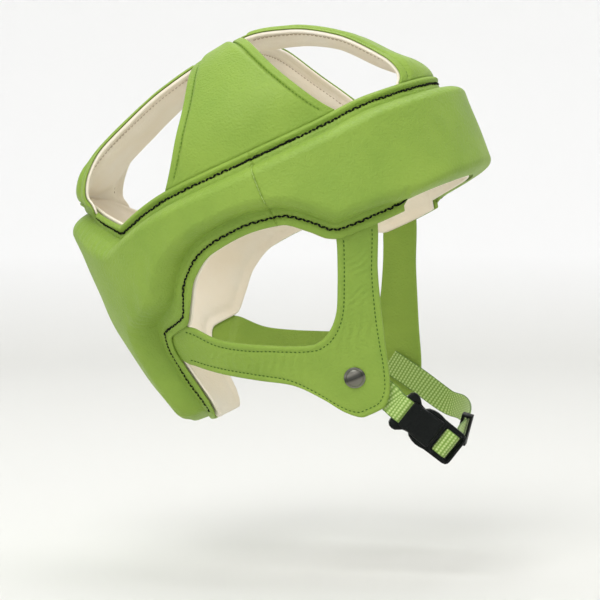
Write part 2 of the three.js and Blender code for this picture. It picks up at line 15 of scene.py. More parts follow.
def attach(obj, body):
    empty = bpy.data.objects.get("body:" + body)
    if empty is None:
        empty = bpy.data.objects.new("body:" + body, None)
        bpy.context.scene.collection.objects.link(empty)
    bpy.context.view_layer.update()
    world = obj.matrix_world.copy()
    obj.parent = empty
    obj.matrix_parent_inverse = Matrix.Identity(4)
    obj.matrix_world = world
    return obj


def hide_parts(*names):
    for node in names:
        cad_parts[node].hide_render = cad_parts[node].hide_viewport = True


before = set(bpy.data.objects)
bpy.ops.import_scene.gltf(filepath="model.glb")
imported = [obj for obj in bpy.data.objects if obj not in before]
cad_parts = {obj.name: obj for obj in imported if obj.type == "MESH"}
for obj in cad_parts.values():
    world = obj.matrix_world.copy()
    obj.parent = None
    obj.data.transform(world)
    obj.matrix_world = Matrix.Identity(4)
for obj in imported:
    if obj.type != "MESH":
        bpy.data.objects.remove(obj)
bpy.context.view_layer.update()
print("nodes in the frame:", len(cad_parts))

# %% [markdown]
# ## From the helmet's frame to the worn one
# The helmet leans back by 22.5 degrees as it is worn, and its seat, under the middle of the crown, is
# the origin. Every piece is worked out level and turned once at the end, so the formulas stay simple.

# %% Tilt
TILT = np.radians(22.5)
SEAT = np.array([0.0, 0.0, 59.5])


def worn(points):
    """Helmet millimetres to metres in the frame: less the seat, then turned about y by the tilt."""
    x, y, z = np.moveaxis(np.asarray(points) - SEAT, -1, 0)
    across = x * np.cos(TILT) - z * np.sin(TILT)
    up = x * np.sin(TILT) + z * np.cos(TILT)
    return np.stack([across, y, up], -1) / 1000


print("the seat, in metres:", worn(SEAT).round(3))

# %% [markdown]
# ## Curves and soft steps
# A pattern maker draws an edge through a few measured points. Here an edge is a table of such points and
# a smooth curve through them. Blender's own curves could hold the edges, but a function can be asked
# for all the places of a grid at once. The other helpers are the soft steps that foam and leather make
# beside a seam.

# %% Curves and soft steps
def curve(knots, values):
    """Cubic pieces through the values; the slope at a knot is the harmonic mean of the two slopes
    beside it, and zero at a peak, so that nothing overshoots."""
    x, y = np.array(knots, float), np.array(values, float)
    slope = np.diff(y) / np.diff(x)
    before, after = np.r_[slope[0], slope], np.r_[slope, slope[-1]]
    same = before * after > 0
    total = np.where(same, before + after, 1)
    tangent = np.where(same, 2 * before * after / total, 0)

    def at(value):
        value = np.clip(value, x[0], x[-1])
        i = np.clip(np.searchsorted(x, value) - 1, 0, len(x) - 2)
        step = x[i + 1] - x[i]
        t = (value - x[i]) / step
        r = 1 - t
        ends = y[i] * r * r * (1 + 2 * t) + y[i + 1] * t * t * (3 - 2 * t)
        return ends + step * t * r * (tangent[i] * r - tangent[i + 1] * t)

    return at


def columns(table):
    """Curves of all the later columns of a table against its first column."""
    rows = np.array(table, float)
    return [curve(rows[:, 0], rows[:, k]) for k in range(1, rows.shape[1])]


def stops(start, *ranges):
    """Evenly spaced values over joined ranges, each given by its end and its number of steps."""
    values = [np.array([start], float)]
    for end, steps in ranges:
        values.append(np.linspace(values[-1][-1], end, steps + 1)[1:])
    return np.concatenate(values)


def swell(share):
    """Quarter round from 0 to 1 with an upright start, as foam swells up beside a stitch."""
    x = np.clip(share, 0, 1)
    return np.sqrt(1 - (1 - x) ** 2)


def ease(low, high, value):
    """Smooth step from 0 at low to 1 at high."""
    x = np.clip((value - low) / (high - low), 0, 1)
    return x * x * (3 - 2 * x)


def bell(distance, width):
    """Bell curve of height 1 and the given width."""
    return np.exp(-((distance / width) ** 2))


def unit(vector):
    """Vector of length 1."""
    return vector / np.linalg.norm(vector, axis=-1, keepdims=True)


print("the quarter round at 0, a half and 1:", swell(np.array([0, 0.5, 1])).round(2))

# %% [markdown]
# ## From a grid to a piece
# Most pieces are walls: an outer grid, an inner grid and the faces that close the edges. A Solidify
# modifier would give a wall of one thickness; here it changes from a sewn edge to the foam, so both
# faces are worked out. Each piece is then told which body it rides on, which solids it stands for and
# which finish it takes.

# %% Pieces from grids
made = {}  # every piece by its name, with the name of its finish


def hand_over(piece, slot, finish_name, *nodes):
    """Puts a piece in the scene on the root body, hides the CAD parts that it stands for and notes its
    finish.
    """
    bpy.context.collection.objects.link(piece)
    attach(piece, "root")
    if nodes:
        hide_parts(*nodes)
    made[piece.name] = finish_name
    print(f"{piece.name}: {len(piece.data.vertices)} points, {len(piece.data.polygons)} faces")
    return piece


def make_piece(name, points, faces, uv, slot, *nodes, finish=None):
    """Puts points in metres and faces of four corners into a mesh that stands for the CAD nodes."""
    mesh = bpy.data.meshes.new(name)
    mesh.vertices.add(len(points))
    mesh.vertices.foreach_set("co", points.astype(np.float32).ravel())
    mesh.loops.add(faces.size)
    mesh.loops.foreach_set("vertex_index", faces.astype(np.int32).ravel())
    mesh.polygons.add(len(faces))
    mesh.polygons.foreach_set("loop_start", np.arange(0, faces.size, 4, dtype=np.int32))
    mesh.polygons.foreach_set("use_smooth", np.ones(len(faces), bool))
    layer = mesh.uv_layers.new(name="UVMap")
    layer.uv.foreach_set("vector", uv[faces.ravel()].astype(np.float32).ravel())
    mesh.update(calc_edges=True)
    mesh.validate()
    return hand_over(bpy.data.objects.new(name + "_finished", mesh), slot, finish or slot, *nodes)


def quads(a, b, c, d):
    """Faces of four corners, from four arrays of point numbers."""
    return np.stack([a, b, c, d], -1).reshape(-1, 4)


def shell_faces(n, m):
    """Corners of the faces of a closed wall: outer grid, inner grid, two long edges and two ends."""
    out = np.arange(n * m).reshape(n, m)
    back = out + n * m
    return np.concatenate([
        quads(out[:-1, :-1], out[1:, :-1], out[1:, 1:], out[:-1, 1:]),
        quads(back[:-1, :-1], back[:-1, 1:], back[1:, 1:], back[1:, :-1]),
        quads(back[:-1, 0], back[1:, 0], out[1:, 0], out[:-1, 0]),
        quads(out[:-1, -1], out[1:, -1], back[1:, -1], back[:-1, -1]),
        quads(back[0, :-1], out[0, :-1], out[0, 1:], back[0, 1:]),
        quads(out[-1, :-1], back[-1, :-1], back[-1, 1:], out[-1, 1:]),
    ])


def shell(name, outer, inner, uv, slot, *nodes):
    """Closed wall between an outer and an inner grid of helmet points."""
    n, m = outer.shape[:2]
    points = worn(np.concatenate([outer.reshape(-1, 3), inner.reshape(-1, 3)]))
    flat = uv.reshape(-1, 2)
    return make_piece(name, points, shell_faces(n, m), np.concatenate([flat, flat]), slot, *nodes)


print("faces of a wall of 3 by 3 points:", len(shell_faces(3, 3)))

# %% [markdown]
# ## Camera
# The camera stands to the wearer's right, 12 degrees towards the brow and 3 degrees up, far enough
# away for a flat view. A Track To constraint could aim it; here its three axes are worked out from the
# direction to the target, so the view is exact and nothing is left to solve.

# %% Camera
TARGET = np.array([0.04267, 0.0, -0.14134])
AZIMUTH, ELEVATION, DISTANCE = np.radians(12), np.radians(3), 1.5
VIEW_HALF = 0.18  # half the width that is seen at the target, in metres
toward = np.array([np.sin(AZIMUTH) * np.cos(ELEVATION), -np.cos(AZIMUTH) * np.cos(ELEVATION),
                   np.sin(ELEVATION)])
right = unit(np.cross([0, 0, 1], toward))
axes = np.stack([right, np.cross(toward, right), toward], -1)
camera = bpy.data.objects.new("camera", bpy.data.cameras.new("camera"))
bpy.context.collection.objects.link(camera)
camera.location = TARGET + DISTANCE * toward
camera.rotation_mode = "QUATERNION"
camera.rotation_quaternion = Matrix(axes.tolist()).to_quaternion()
camera.data.sensor_fit = "HORIZONTAL"
camera.data.angle = 2 * np.arctan(VIEW_HALF / DISTANCE)
camera.data.clip_end = 50
bpy.context.scene.camera = camera
print("field of view:", round(np.degrees(camera.data.angle), 2), "degrees")

# %% [markdown]
# ## Floor and backdrop
# A photographer's sweep is a flat floor, a quarter round and an upright wall in one pale surface, so
# that no horizon shows. A bent plane would do for one camera. Here the profile is carried full circle
# round the helmet, so the backdrop looks the same from every side.

# %% Floor and backdrop
FLOOR, FLOOR_REACH, SWEEP, WALL_TOP = -0.302, 1.6, 0.7, 4.0
SWEEP_TURNS = 96
bend = np.linspace(0, np.pi / 2, 24)
radius = np.concatenate([[0.8, 1.5], FLOOR_REACH + SWEEP * np.sin(bend), [FLOOR_REACH + SWEEP]])
height = np.concatenate([[FLOOR, FLOOR], FLOOR + SWEEP - SWEEP * np.cos(bend), [WALL_TOP]])
turn = np.linspace(0, 2 * np.pi, SWEEP_TURNS, endpoint=False)[:, None]
sweep = np.stack(np.broadcast_arrays(radius * np.cos(turn), radius * np.sin(turn), height), -1)
index = np.arange(sweep[..., 0].size).reshape(sweep.shape[:2])
after = np.roll(index, -1, axis=0)
around = quads(index[:, :-1], index[:, 1:], after[:, 1:], after[:, :-1])
floor_mesh = bpy.data.meshes.new("floor")
floor_mesh.from_pydata(sweep.reshape(-1, 3).tolist(), [], [index[:, 0].tolist(), *around.tolist()])
floor_mesh.polygons.foreach_set("use_smooth", np.ones(len(floor_mesh.polygons), bool))
floor = bpy.data.objects.new("floor", floor_mesh)
bpy.context.collection.objects.link(floor)
print("floor and wall:", len(floor_mesh.polygons), "faces")

# %% [markdown]
# ## Light
# Soft studio light: a large key lamp above the camera, a larger one overhead, one that brightens the
# backdrop, and a pale sky that fills the shadows. Small lamps would be simpler to place, but large ones
# give the soft edges of shadow that a photographer's umbrella gives.

# %% Light
SKY_STRENGTH = 0.42
LAMPS = {  # place, aim, length of a side in metres, power in watts
    "key_light": ((-0.15, -1.2, 1.3), (0.02, 0, -0.08), 1.0, 19),
    "top_light": ((-0.1, 0.4, 1.7), (0, 0, 0), 1.6, 13),
    "wall_light": ((0.0, 0.9, 2.4), (0, 2.3, 0.3), 2.2, 13.5),
}


def area_light(name, place, aim, size, power):
    """Square soft light at a place, turned to shine on a point."""
    light = bpy.data.lights.new(name, "AREA")
    light.shape = "SQUARE"
    light.size, light.energy = size, power
    lamp = bpy.data.objects.new(name, light)
    lamp.location = place
    away = Vector(np.subtract(place, aim))
    lamp.rotation_euler = away.to_track_quat("Z", "Y").to_euler()
    bpy.context.collection.objects.link(lamp)


for name, lamp in LAMPS.items():
    area_light(name, *lamp)
world = bpy.data.worlds.new("studio")
world.use_nodes = True
sky = world.node_tree.nodes["Background"]
sky.inputs["Color"].default_value = (1, 1, 1, 1)
sky.inputs["Strength"].default_value = SKY_STRENGTH
bpy.context.scene.world = world
bpy.context.scene.view_settings.view_transform = "Standard"
print("lamps:", ", ".join(LAMPS))

# %% [markdown]
# ## The padded ring
# The ring goes round the forehead, over the ears and down to the nape. On the real helmet it is two
# sewn pads that meet in a seam above each ear. Its inside is an ellipse at each height. A column of
# the grid is one angle round the ring, and a row is a height between the lower and the upper edge.
# Modelling it by hand would need many loops along the edges; here three curves say where the edges
# and the groove are, and the distance to them says how far the foam swells the leather.

# %% Ring tables and surface
RING = [  # height, reach to the front, to the rear, to each side
    (-180, 93, 75, 51), (-132, 100, 87, 62), (-100, 103, 96.5, 71), (-75, 105, 102, 77),
    (-50, 106, 105, 80.5), (-20, 106, 106, 81), (5, 106, 108, 79.5), (25, 104, 114, 77),
]
V_NOTCH, TAB, TAB_STEP, SEAM = 141, 47, 0.4, 86  # degrees from the front
TOP_SIDE = [(0, 4.8), (44, 4.6), (66, 0.8), (91, -1.5), (114, -2.5), (V_NOTCH, -9)]
TOP_REAR = [(V_NOTCH, -9), (154, 4.5), (166, 16), (180, 19.5)]
BOTTOM = [
    (0, -57.6), (25, -58.4), (TAB - TAB_STEP, -60), (TAB + TAB_STEP, -65.3), (69, -66.7), (73.5, -64),
    (78, -56.5), (85, -47), (96, -44.3), (108.5, -46.6), (118, -55.3), (125.5, -69.2), (131.6, -78.3),
    (138.5, -79.5), (143, -80.5), (147.6, -88), (149, -97), (150, -108), (151.2, -119), (153, -127.4),
    (157, -133), (180, -134.4),
]
GROOVE = [  # angle, height of the groove under the foam, share of the foam that stands bluntly there
    (0, -57.6, 0.24), (25, -58.4, 0.3), (46, -60, 0.45), (56, -57.5, 0.5), (69, -58, 0.35),
    (73, -53, 0.2), (77, -46, 0.1), (85, -36.5, 0), (95, -33, 0), (104, -34, 0), (113, -37.5, 0),
    (118, -41.5, 0), (122, -47, 0), (126, -54.5, 0), (131, -62.5, 0), (140, -67.5, 0), (147, -70.5, 0),
    (151.5, -79, 0), (155, -91, 0), (157.5, -105, 0), (160, -118, 0.2), (165, -127.5, 0.45),
    (180, -131.4, 0.5),
]
ring_front, ring_rear, ring_half = columns(RING)
top_side, = columns(TOP_SIDE)
top_rear, = columns(TOP_REAR)
bottom, = columns(BOTTOM)
groove, blunt = columns(GROOVE)


def top(angle):
    """Upper edge: one curve down to the V behind the ear and another up to the back."""
    return np.where(angle < V_NOTCH, top_side(angle), top_rear(angle))


def fold(angle):
    """Angle from the front on either side, 0 to 180 degrees."""
    return np.abs((np.asarray(angle, float) + 180) % 360 - 180)


def ring_point(angle, height, lift):
    """Ellipse at each height, longer to the front or the rear than to the sides, grown by lift."""
    a = np.radians(angle)
    reach = np.where(np.cos(a) > 0, ring_front(height), ring_rear(height))
    return np.stack([(reach + lift) * np.cos(a), (ring_half(height) + lift) * np.sin(a),
                     height + 0 * a], -1)


print("inside of the ring:", ring_front(0) + ring_rear(0), "by", 2 * ring_half(0), "mm")

# %% [markdown]
# ## Foam under the leather
# Foam swells the leather out between the stitches and is held flat beside them. Sculpting could do it,
# or a cloth simulation, but the sewn margins are narrower than the voxels of a remesh and would be
# lost. So the swell is a formula of the distance to the stitch lines, with small waves for the puckers,
# the creases and the slow unevenness of hand work.

# %% Foam
DEGREE = 1.6  # millimetres for a degree round the ring
SEWN_EDGE, RAISED, REAR_EXTRA = 5.2, 19.2, 1.3  # lift of the flat edges, of the foam, more at the rear
TOP_EDGE, ROLL = 8.5, 6.8  # width of the flat upper edge, and reach of the quarter rounds
UPPER_SEWN, LOWER_SEWN = 4.6, 5.0  # from the edges to the black stitches
UNEVEN, PUCKER, CREASE, VALLEY = 0.45, 0.36, 0.5, 0.9  # heights of the small forms
PUCKER_PITCH = 4.4


def distance_to(edge, angle, height):
    """Shortest way to an edge line on the ring laid out flat, where a degree is 1.6 mm long."""
    mark = np.linspace(0, 180, 361)
    line = np.stack([mark * DEGREE, edge(mark)], -1)
    side = np.diff(line, axis=0)
    angle, height = np.broadcast_arrays(fold(angle), height)

    def block(a, h):
        away = np.stack([a * DEGREE, h], -1)[..., None, :] - line[:-1]
        share = np.clip((away * side).sum(-1) / (side**2).sum(-1), 0, 1)
        return np.sqrt(((away - share[..., None] * side) ** 2).sum(-1).min(-1))

    parts = zip(np.array_split(angle, 16), np.array_split(height, 16))
    return np.concatenate([block(a, h) for a, h in parts if len(a)])


def soft_noise(a, b):
    """Sum of a few slanted waves: the slow unevenness of hand-sewn foam, from -1 to 1."""
    return (np.sin(0.113 * a + 0.071 * b + 1.0) + np.sin(0.057 * a - 0.149 * b + 2.3)
            + 0.7 * np.sin(0.211 * a + 0.187 * b + 0.4) + 0.5 * np.sin(0.33 * a - 0.09 * b + 4.0)) / 3.2


def foam_lift(angle, height):
    """Outside of the leather: flat at the sewn edges and swollen between them by the smaller of two
    quarter rounds, one from the groove and one from the upper edge. The thread pulls a valley into
    the flat edges, and small puckers run off the stitches into the foam."""
    a = fold(angle)
    along = a * DEGREE
    in_foam = height >= groove(a) - 1e-6
    from_groove = in_foam * distance_to(groove, angle, height)
    from_top = distance_to(top, angle, height)
    from_bottom = distance_to(bottom, angle, height)
    stand = in_foam * blunt(a)
    low = stand + (1 - stand) * swell(from_groove / ROLL)
    high = swell((from_top - TOP_EDGE) / (ROLL + 3 * ease(125, 165, a)))
    foam = np.minimum(low, high)
    full = RAISED - REAR_EXTRA * np.cos(np.radians(angle)) + UNEVEN * soft_noise(along, height)
    beat = np.sin(along * 2 * np.pi / PUCKER_PITCH + 1.4 * np.sin(along / 17))
    beside_groove = (a > 75) * bell(from_groove - 2, 3) * in_foam
    pucker = PUCKER * beat * (bell(from_top - 10.5, 3.2) + beside_groove)
    creases = CREASE * np.sin(along / 2.1 + 0.12 * height) * bell(from_groove - 7, 6) * ease(88, 100, a)
    valley = VALLEY * (bell(from_top - UPPER_SEWN, 1.2) + (a > TAB) * bell(from_bottom - LOWER_SEWN, 1.2))
    fade = 1 - ease(140, 150, a)
    lump = (0.8 + 0.3 * beat) * bell(from_top - 1.6, 1.6)
    return (SEWN_EDGE + (full - SEWN_EDGE) * foam + pucker + creases * fade * (foam > 0.02)
            - valley + lump)


print("foam above the ear stands out by", foam_lift(np.array([90.0]), np.array([-18.0])).round(1), "mm")

# %% [markdown]
# ## Rows of the ring's grid
# The rows lie close together where the leather bends sharply, beside the groove and the upper edge, and
# far apart where it is smooth. A Subdivision Surface would make the whole mesh finer; choosing the rows
# puts the faces only where they show.

# %% Rows of the ring's grid
ROW_STEPS = [12, 2, 20, 34, 18, 13]  # from the lower edge: flat edge, groove, roll, foam, roll, flat edge


def ring_rows(angle):
    """Heights of the columns, from the lower edge through the groove to the upper edge."""
    a = fold(angle)
    edge, high = bottom(a), top(a)
    low = np.maximum(groove(a), edge + 1.2)
    knots = [edge, low - 0.4, low, low + ROLL, high - 2 * TOP_EDGE, high - TOP_EDGE, high]
    parts = []
    for k, count in enumerate(ROW_STEPS):
        share = np.linspace(0, 1, count, endpoint=False)
        share = share**1.6 if k == 2 else share
        share = 1 - (1 - share) ** 1.5 if k == 4 else share
        parts.append(knots[k][:, None] + (knots[k + 1] - knots[k])[:, None] * share)
    return np.concatenate([*parts, high[:, None]], 1)


def rounded(margin, radius):
    """Share of a wall's thickness: 0.15 at an edge, rising in a quarter round to 1 at the radius."""
    return 0.15 + 0.85 * swell(margin / radius)


def from_rims(rows):
    """Distance of each row to the nearer end of its column."""
    return np.minimum(rows - rows[:, :1], rows[:, -1:] - rows)


def closed_lifts(outer, inner, near):
    """Lifts of a wall's two faces, drawn to its middle where the share near is below 1."""
    middle = (outer + inner) / 2
    return middle + (outer - middle) * near, middle - (middle - inner) * near


def laid_out(angle, height):
    """Map of the ring laid out flat, in metres, for patterns that follow it."""
    return np.stack([angle * DEGREE, height], -1) / 1000


print("rows of a column:", sum(ROW_STEPS) + 1)

# %% [markdown]
# ## The two pads
# The forehead band and the pad at the back are the same wall over two ranges of angles. They could be one
# mesh, but they are two on the real helmet, and dip a little where they are sewn edge to edge.

# %% The two pads
LINING, LINING_SLACK = 1.6, 1.2  # thickness of the lining, and room between it and the pad


def ring_pad(name, angles):
    """Closed pad over a range of angles, with rounded edges and a slight dip at its seams."""
    rows = ring_rows(angles)
    grid = np.broadcast_to(angles[:, None], rows.shape)
    inner = LINING + LINING_SLACK
    seam = np.abs(fold(grid) - SEAM) * DEGREE
    outer = inner + (foam_lift(grid, rows) - inner) * (1 - 0.015 * bell(seam, 0.9))
    near = rounded(from_rims(rows), 1.5 + 1.6 * (fold(grid) < TAB))
    points, under = (ring_point(grid, rows, lift) for lift in closed_lifts(outer, inner, near))
    pad = shell(name, points, under, laid_out(grid, rows), "leather", name)
    return pad


brow = stops(-SEAM, (-TAB - TAB_STEP, 46), (-TAB + TAB_STEP, 2), (0, 52), (TAB - TAB_STEP, 52),
             (TAB + TAB_STEP, 2), (SEAM, 46))
back = stops(SEAM, (V_NOTCH, 66), (152, 24), (180, 36), (208, 36), (360 - V_NOTCH, 24), (360 - SEAM, 66))
forehead_band = ring_pad("forehead_band", brow)
occipital_pad = ring_pad("occipital_pad", back)

# %% [markdown]
# ## The ring's lining
# The cream lining is a thin quilted sheet on the inside. It shows at the edges and through every
# opening, so it gets a sewn margin and a soft swell between the margins. It is a sheet that is
# stretched on the pad, and half the surface of each one is printed as its area.

# %% Ring linings
def sheet_area(piece):
    """Half the surface of a closed thin sheet, in square metres."""
    mesh = piece.data
    area = np.empty(len(mesh.polygons))
    mesh.polygons.foreach_get("area", area)
    return area.sum() / 2


def ring_lining(name, angles):
    """Wall of 1.6 mm on the ring's inside, whose inner face swells in by up to 2 mm."""
    a = fold(angles)
    share = np.concatenate([np.linspace(0, 0.06, 6)[:-1], np.linspace(0.06, 0.94, 40),
                            np.linspace(0.94, 1, 6)[1:]])
    rows = bottom(a)[:, None] + (top(a) - bottom(a))[:, None] * share
    grid = np.broadcast_to(angles[:, None], rows.shape)
    edge = np.minimum(distance_to(bottom, grid, rows), distance_to(top, grid, rows))
    seam = np.abs(fold(grid) - SEAM) * DEGREE
    margin = np.minimum(edge, seam)
    puff = 2.2 * swell((margin - 6) / 12) + 0.35 * soft_noise(grid * DEGREE * 1.7, rows * 1.6)
    puff = puff * ease(4, 9, margin) - 0.35 * bell(margin - 4.5, 1)
    high, low = closed_lifts(LINING, 0, rounded(from_rims(rows), 1.0))
    points, under = ring_point(grid, rows, high), ring_point(grid, rows, low - puff)
    lining = shell(name, points, under, laid_out(grid, rows), "lining", name)
    area = sheet_area(lining)
    print(f"{name}: {area:.4f} square metres")
    return lining


ring_lining("forehead_lining", brow[::2])
ring_lining("occipital_lining", back[::2])

# %% [markdown]
# ## The cross over the crown
# A wide saddle goes from side to side, and a strap goes from it to the brow and another to the back.
# Each cross section of the crown's underside is a quarter ellipse on each side, from the middle line
# down to the ring. A piece is a grid on that surface: the cover is lifted along the surface's normal,
# thin at the flat margins and thick over the foam, and it thins out where it goes behind the ring.

# %% Crown surface
CROWN = [  # place along, height of the middle line, height where it meets the ring
    (-113, 19.6, 20), (-104, 23.6, 13), (-95, 28.6, 4), (-84, 34.9, -5), (-66, 42.2, -3.9),
    (-36, 52.6, -1.9), (0, 59.6, -1.1), (20, 61.6, -0.2), (44, 56, 1.2), (68, 42.5, 4.1),
    (89, 20.5, 5.4), (106, 5.8, 5.4),
]
CROWN_FRONT, CROWN_REAR, CROWN_HALF = 106, 113, 79.5
# edges of the saddle: place along at the top and at the ring, and how far the edge bows forward
SADDLE_FRONT, SADDLE_REAR = (11, 58.2, 11), (-11, -46, 11)
crown_middle, crown_rim = columns(CROWN)


def rim_half(along):
    """Half width of the crown at a place along it: an ellipse, longer to the rear."""
    reach = np.where(along > 0, CROWN_FRONT, CROWN_REAR)
    return CROWN_HALF * np.sqrt(np.maximum(1 - (along / reach) ** 2, 1e-6))


def crown_point(along, turn):
    """Quarter ellipse from the middle line (turn 0) to the rim (turn 90 degrees), flattened over the
    middle, where the straps lie almost level from edge to edge."""
    side = rim_half(along) * np.sin(turn)
    drop = (crown_middle(along) - crown_rim(along)) * (1 - np.cos(turn))
    level = 0.88 * (1 - ease(20, 76, np.abs(side))) * (1 - ease(0.6, 1, np.abs(np.sin(turn))))
    return np.stack([along, side, crown_middle(along) - drop * (1 - level)], -1)


def saddle_edge(edge, drop):
    """Place along of a saddle edge: straight from the top to the ring, plus a bow."""
    return edge[0] + (edge[1] - edge[0]) * drop + edge[2] * (swell(drop) - drop)


def saddle_point(u, v):
    """u from the right rim (-1) to the left one (1), v from the front edge (0) to the rear edge (1)."""
    turn = u * np.pi / 2
    drop = 1 - np.cos(turn)
    front, rear = saddle_edge(SADDLE_FRONT, drop), saddle_edge(SADDLE_REAR, drop)
    return crown_point(front + (rear - front) * v, turn)


print("width of the saddle at the top:", SADDLE_FRONT[0] - SADDLE_REAR[0], "mm")

# %% [markdown]
# ## Straps on the crown
# A strap starts at the saddle's bowed edge and ends at the ring, and both places change from its middle to
# its sides. A straight strip with a Shrinkwrap modifier would slide off those edges. So each place across
# the strap finds its own start and end on the crown, and the grid is drawn between them.

# %% Straps on the crown
def strap_surface(half_width, edge, reach, flare):
    """Function of v (saddle 0 to ring 1) and u (one edge -1 to the other 1) for a strap, whose edges
    flare outwards by up to the given length before they go in behind the ring."""
    outwards = np.sign(reach)

    def at(v, u):
        side = u * outwards * half_width(v)
        start = np.full_like(side, edge[0])
        for _ in range(6):
            sine = np.clip(side / rim_half(start), -1, 1)
            start = saddle_edge(edge, 1 - np.sqrt(1 - sine**2))
        start = start + outwards * 0.4
        end = reach * np.sqrt(1 - (side / CROWN_HALF) ** 2)
        along = start + (end - start) * np.sin(v * np.pi / 2)
        points = crown_point(along, np.arcsin(np.clip(side / rim_half(along), -1, 1)))
        points[..., 0] += outwards * flare * u**2 * np.sin(v * np.pi / 2) * (1 - ease(0.84, 1, v))
        return points

    return at


def lifted(surface, u, v, level):
    """Points and lift directions of a surface: its normal, turned by a share to point level away
    from the helmet's axis."""
    step = 1e-3
    along = surface(u + step, v) - surface(u - step, v)
    across = surface(u, v + step) - surface(u, v - step)
    normal = np.cross(along, across)
    normal /= np.linalg.norm(normal, axis=-1, keepdims=True) + 1e-12
    points = surface(u, v)
    out = points * [1, 1, 0]
    out /= np.linalg.norm(out, axis=-1, keepdims=True) + 1e-12
    turned = normal + (out - normal) * level[..., None]
    return points, turned / np.linalg.norm(turned, axis=-1, keepdims=True)


print("height of the crown's middle:", crown_middle(0), "mm")

# %% [markdown]
# ## Cover and lining of the crown
# Across a strap, leather and lining lie flat together along the sewn margin and part over the foam. Two
# copies of one sheet with Solidify could stand in for them, but the crease beside the stitches is what
# shows. So each of the four faces has its own lift, as a formula of the distance to the edge.

# %% Cover and lining of the crown
CROWN_TOP, CROWN_EDGE, CROWN_END = 8.5, 7.0, 4.2  # lift over the foam, at the margin and at the ring
CROWN_MARGIN, CROWN_CREASE = 5.4, 5.1  # from the edge to the foam and to the crease
FLAT_BACK, FLAT_INSIDE = CROWN_EDGE - 0.9, CROWN_EDGE - 3.4  # the back and the lining at the margin
FOAM_BACK, FOAM_INSIDE = 2.2, -2.6  # and over the foam
BEHIND_RING = (CROWN_END, 1.95, 1.6, 0.1)  # all four lifts where the piece has gone in behind the ring


def going_in(way):
    """0 over the first 0.7 of the way to the ring, then a smooth step to 1."""
    return ease(0.7, 1, way)


def crown_layers(margin, way):
    """Lifts of the cover's outside, its back, the lining's outside and its inside. Leather and lining
    lie flat together over the sewn margin; inside it a crease drops sharply on the margin's side and
    rises slowly over the foam, and the lining swells in. Towards the ring all four close up."""
    end = going_in(way)
    foam = swell((margin - CROWN_MARGIN) / 4)
    deep = swell((margin - CROWN_MARGIN - 1) / 10)
    past = margin - CROWN_CREASE
    crease = bell(past, np.where(past < 0, 0.55, 1.5)) * (1.5 - 0.8 * end) * (1 - ease(0.95, 1, way))
    outside = CROWN_EDGE + (CROWN_TOP - CROWN_EDGE) * foam
    back = FLAT_BACK + (FOAM_BACK - FLAT_BACK) * deep
    inside = FLAT_INSIDE + (FOAM_INSIDE - FLAT_INSIDE) * deep + 0.4 * bell(margin - 3.6, 0.9)
    layers = [outside, back, back - 0.2, inside]
    closed = [lift + (low - lift) * end for lift, low in zip(layers, BEHIND_RING)]
    return [*(lift - crease for lift in closed[:3]), closed[3]]


print("cover over the foam:", CROWN_TOP - FOAM_BACK, "mm thick")

# %% [markdown]
# ## The pieces of the crown
# The saddle and both straps share one function: a grid on the crown's surface, lifted four times to
# give a cover and a lining, with tails that hang down behind the ring where nobody sees them end.
# Cutting the pieces with a Boolean would leave ragged edges, so each grid ends at its own edge.

# %% The pieces of the crown
TAIL_LIFTS = [(2.65, 1.95), (1.45, 0.15)]  # faces of the cover's tail and of the lining's
TAIL_FALL = np.array([[[0, 0, 1.5]], [[0, 0, 8.0]]])  # how far down the two rows of a tail are


def crown_piece(names, surface, u, v, margin, way, ends):
    """Cover and lining over a grid. margin is the distance to the piece's free edges and way the
    share of the way to the ring. ends says at which ends the piece goes in behind the ring."""
    end = going_in(way)
    points, out = lifted(surface, u, v, end)
    uneven = soft_noise(points[..., 0] * 1.3, points[..., 1] * 1.3)
    soft = 0.25 * uneven * ease(5, 12, margin) * (1 - end)
    outside, back, lining, inside = crown_layers(margin, way)
    near = rounded(margin, 1.0)
    layers = zip(names, ("leather", "lining"), (0.6, 0.4), TAIL_LIFTS,
                 ((outside + soft, back), (lining, inside + soft)))
    for label, slot, fill, tail_lifts, (high, low) in layers:
        grids = []
        for lift, tail_lift in zip(closed_lifts(high, low, near), tail_lifts):
            grid = points + out * lift[..., None]
            tails = [points[k] - TAIL_FALL + out[k] * tail_lift for k in ends]
            first_tail = [tails[0][::-1]] if len(ends) == 2 else []
            grids.append(np.concatenate([*first_tail, grid, tails[-1]]))
        piece = shell(label, *grids, grids[0][..., :2] / 1000, slot, label)


def across_shares(count):
    """Shares from edge to edge of a piece, closer together near its margins."""
    t = np.sin(np.linspace(-1, 1, count) * np.pi / 2)
    share = t * (0.35 + 0.65 * np.abs(t)) ** 0.4
    return 0.5 + 0.5 * share / share[-1]


su, sv = np.meshgrid(np.linspace(-0.998, 0.998, 150), across_shares(110), indexing="ij")
saddle_width = np.linalg.norm(saddle_point(su, 0 * sv) - saddle_point(su, 0 * sv + 1), axis=-1)
saddle_margin = np.minimum(sv, 1 - sv) * saddle_width
crown_piece(("crown_saddle", "saddle_lining"), saddle_point, su, sv, saddle_margin, np.abs(su), (0, -1))

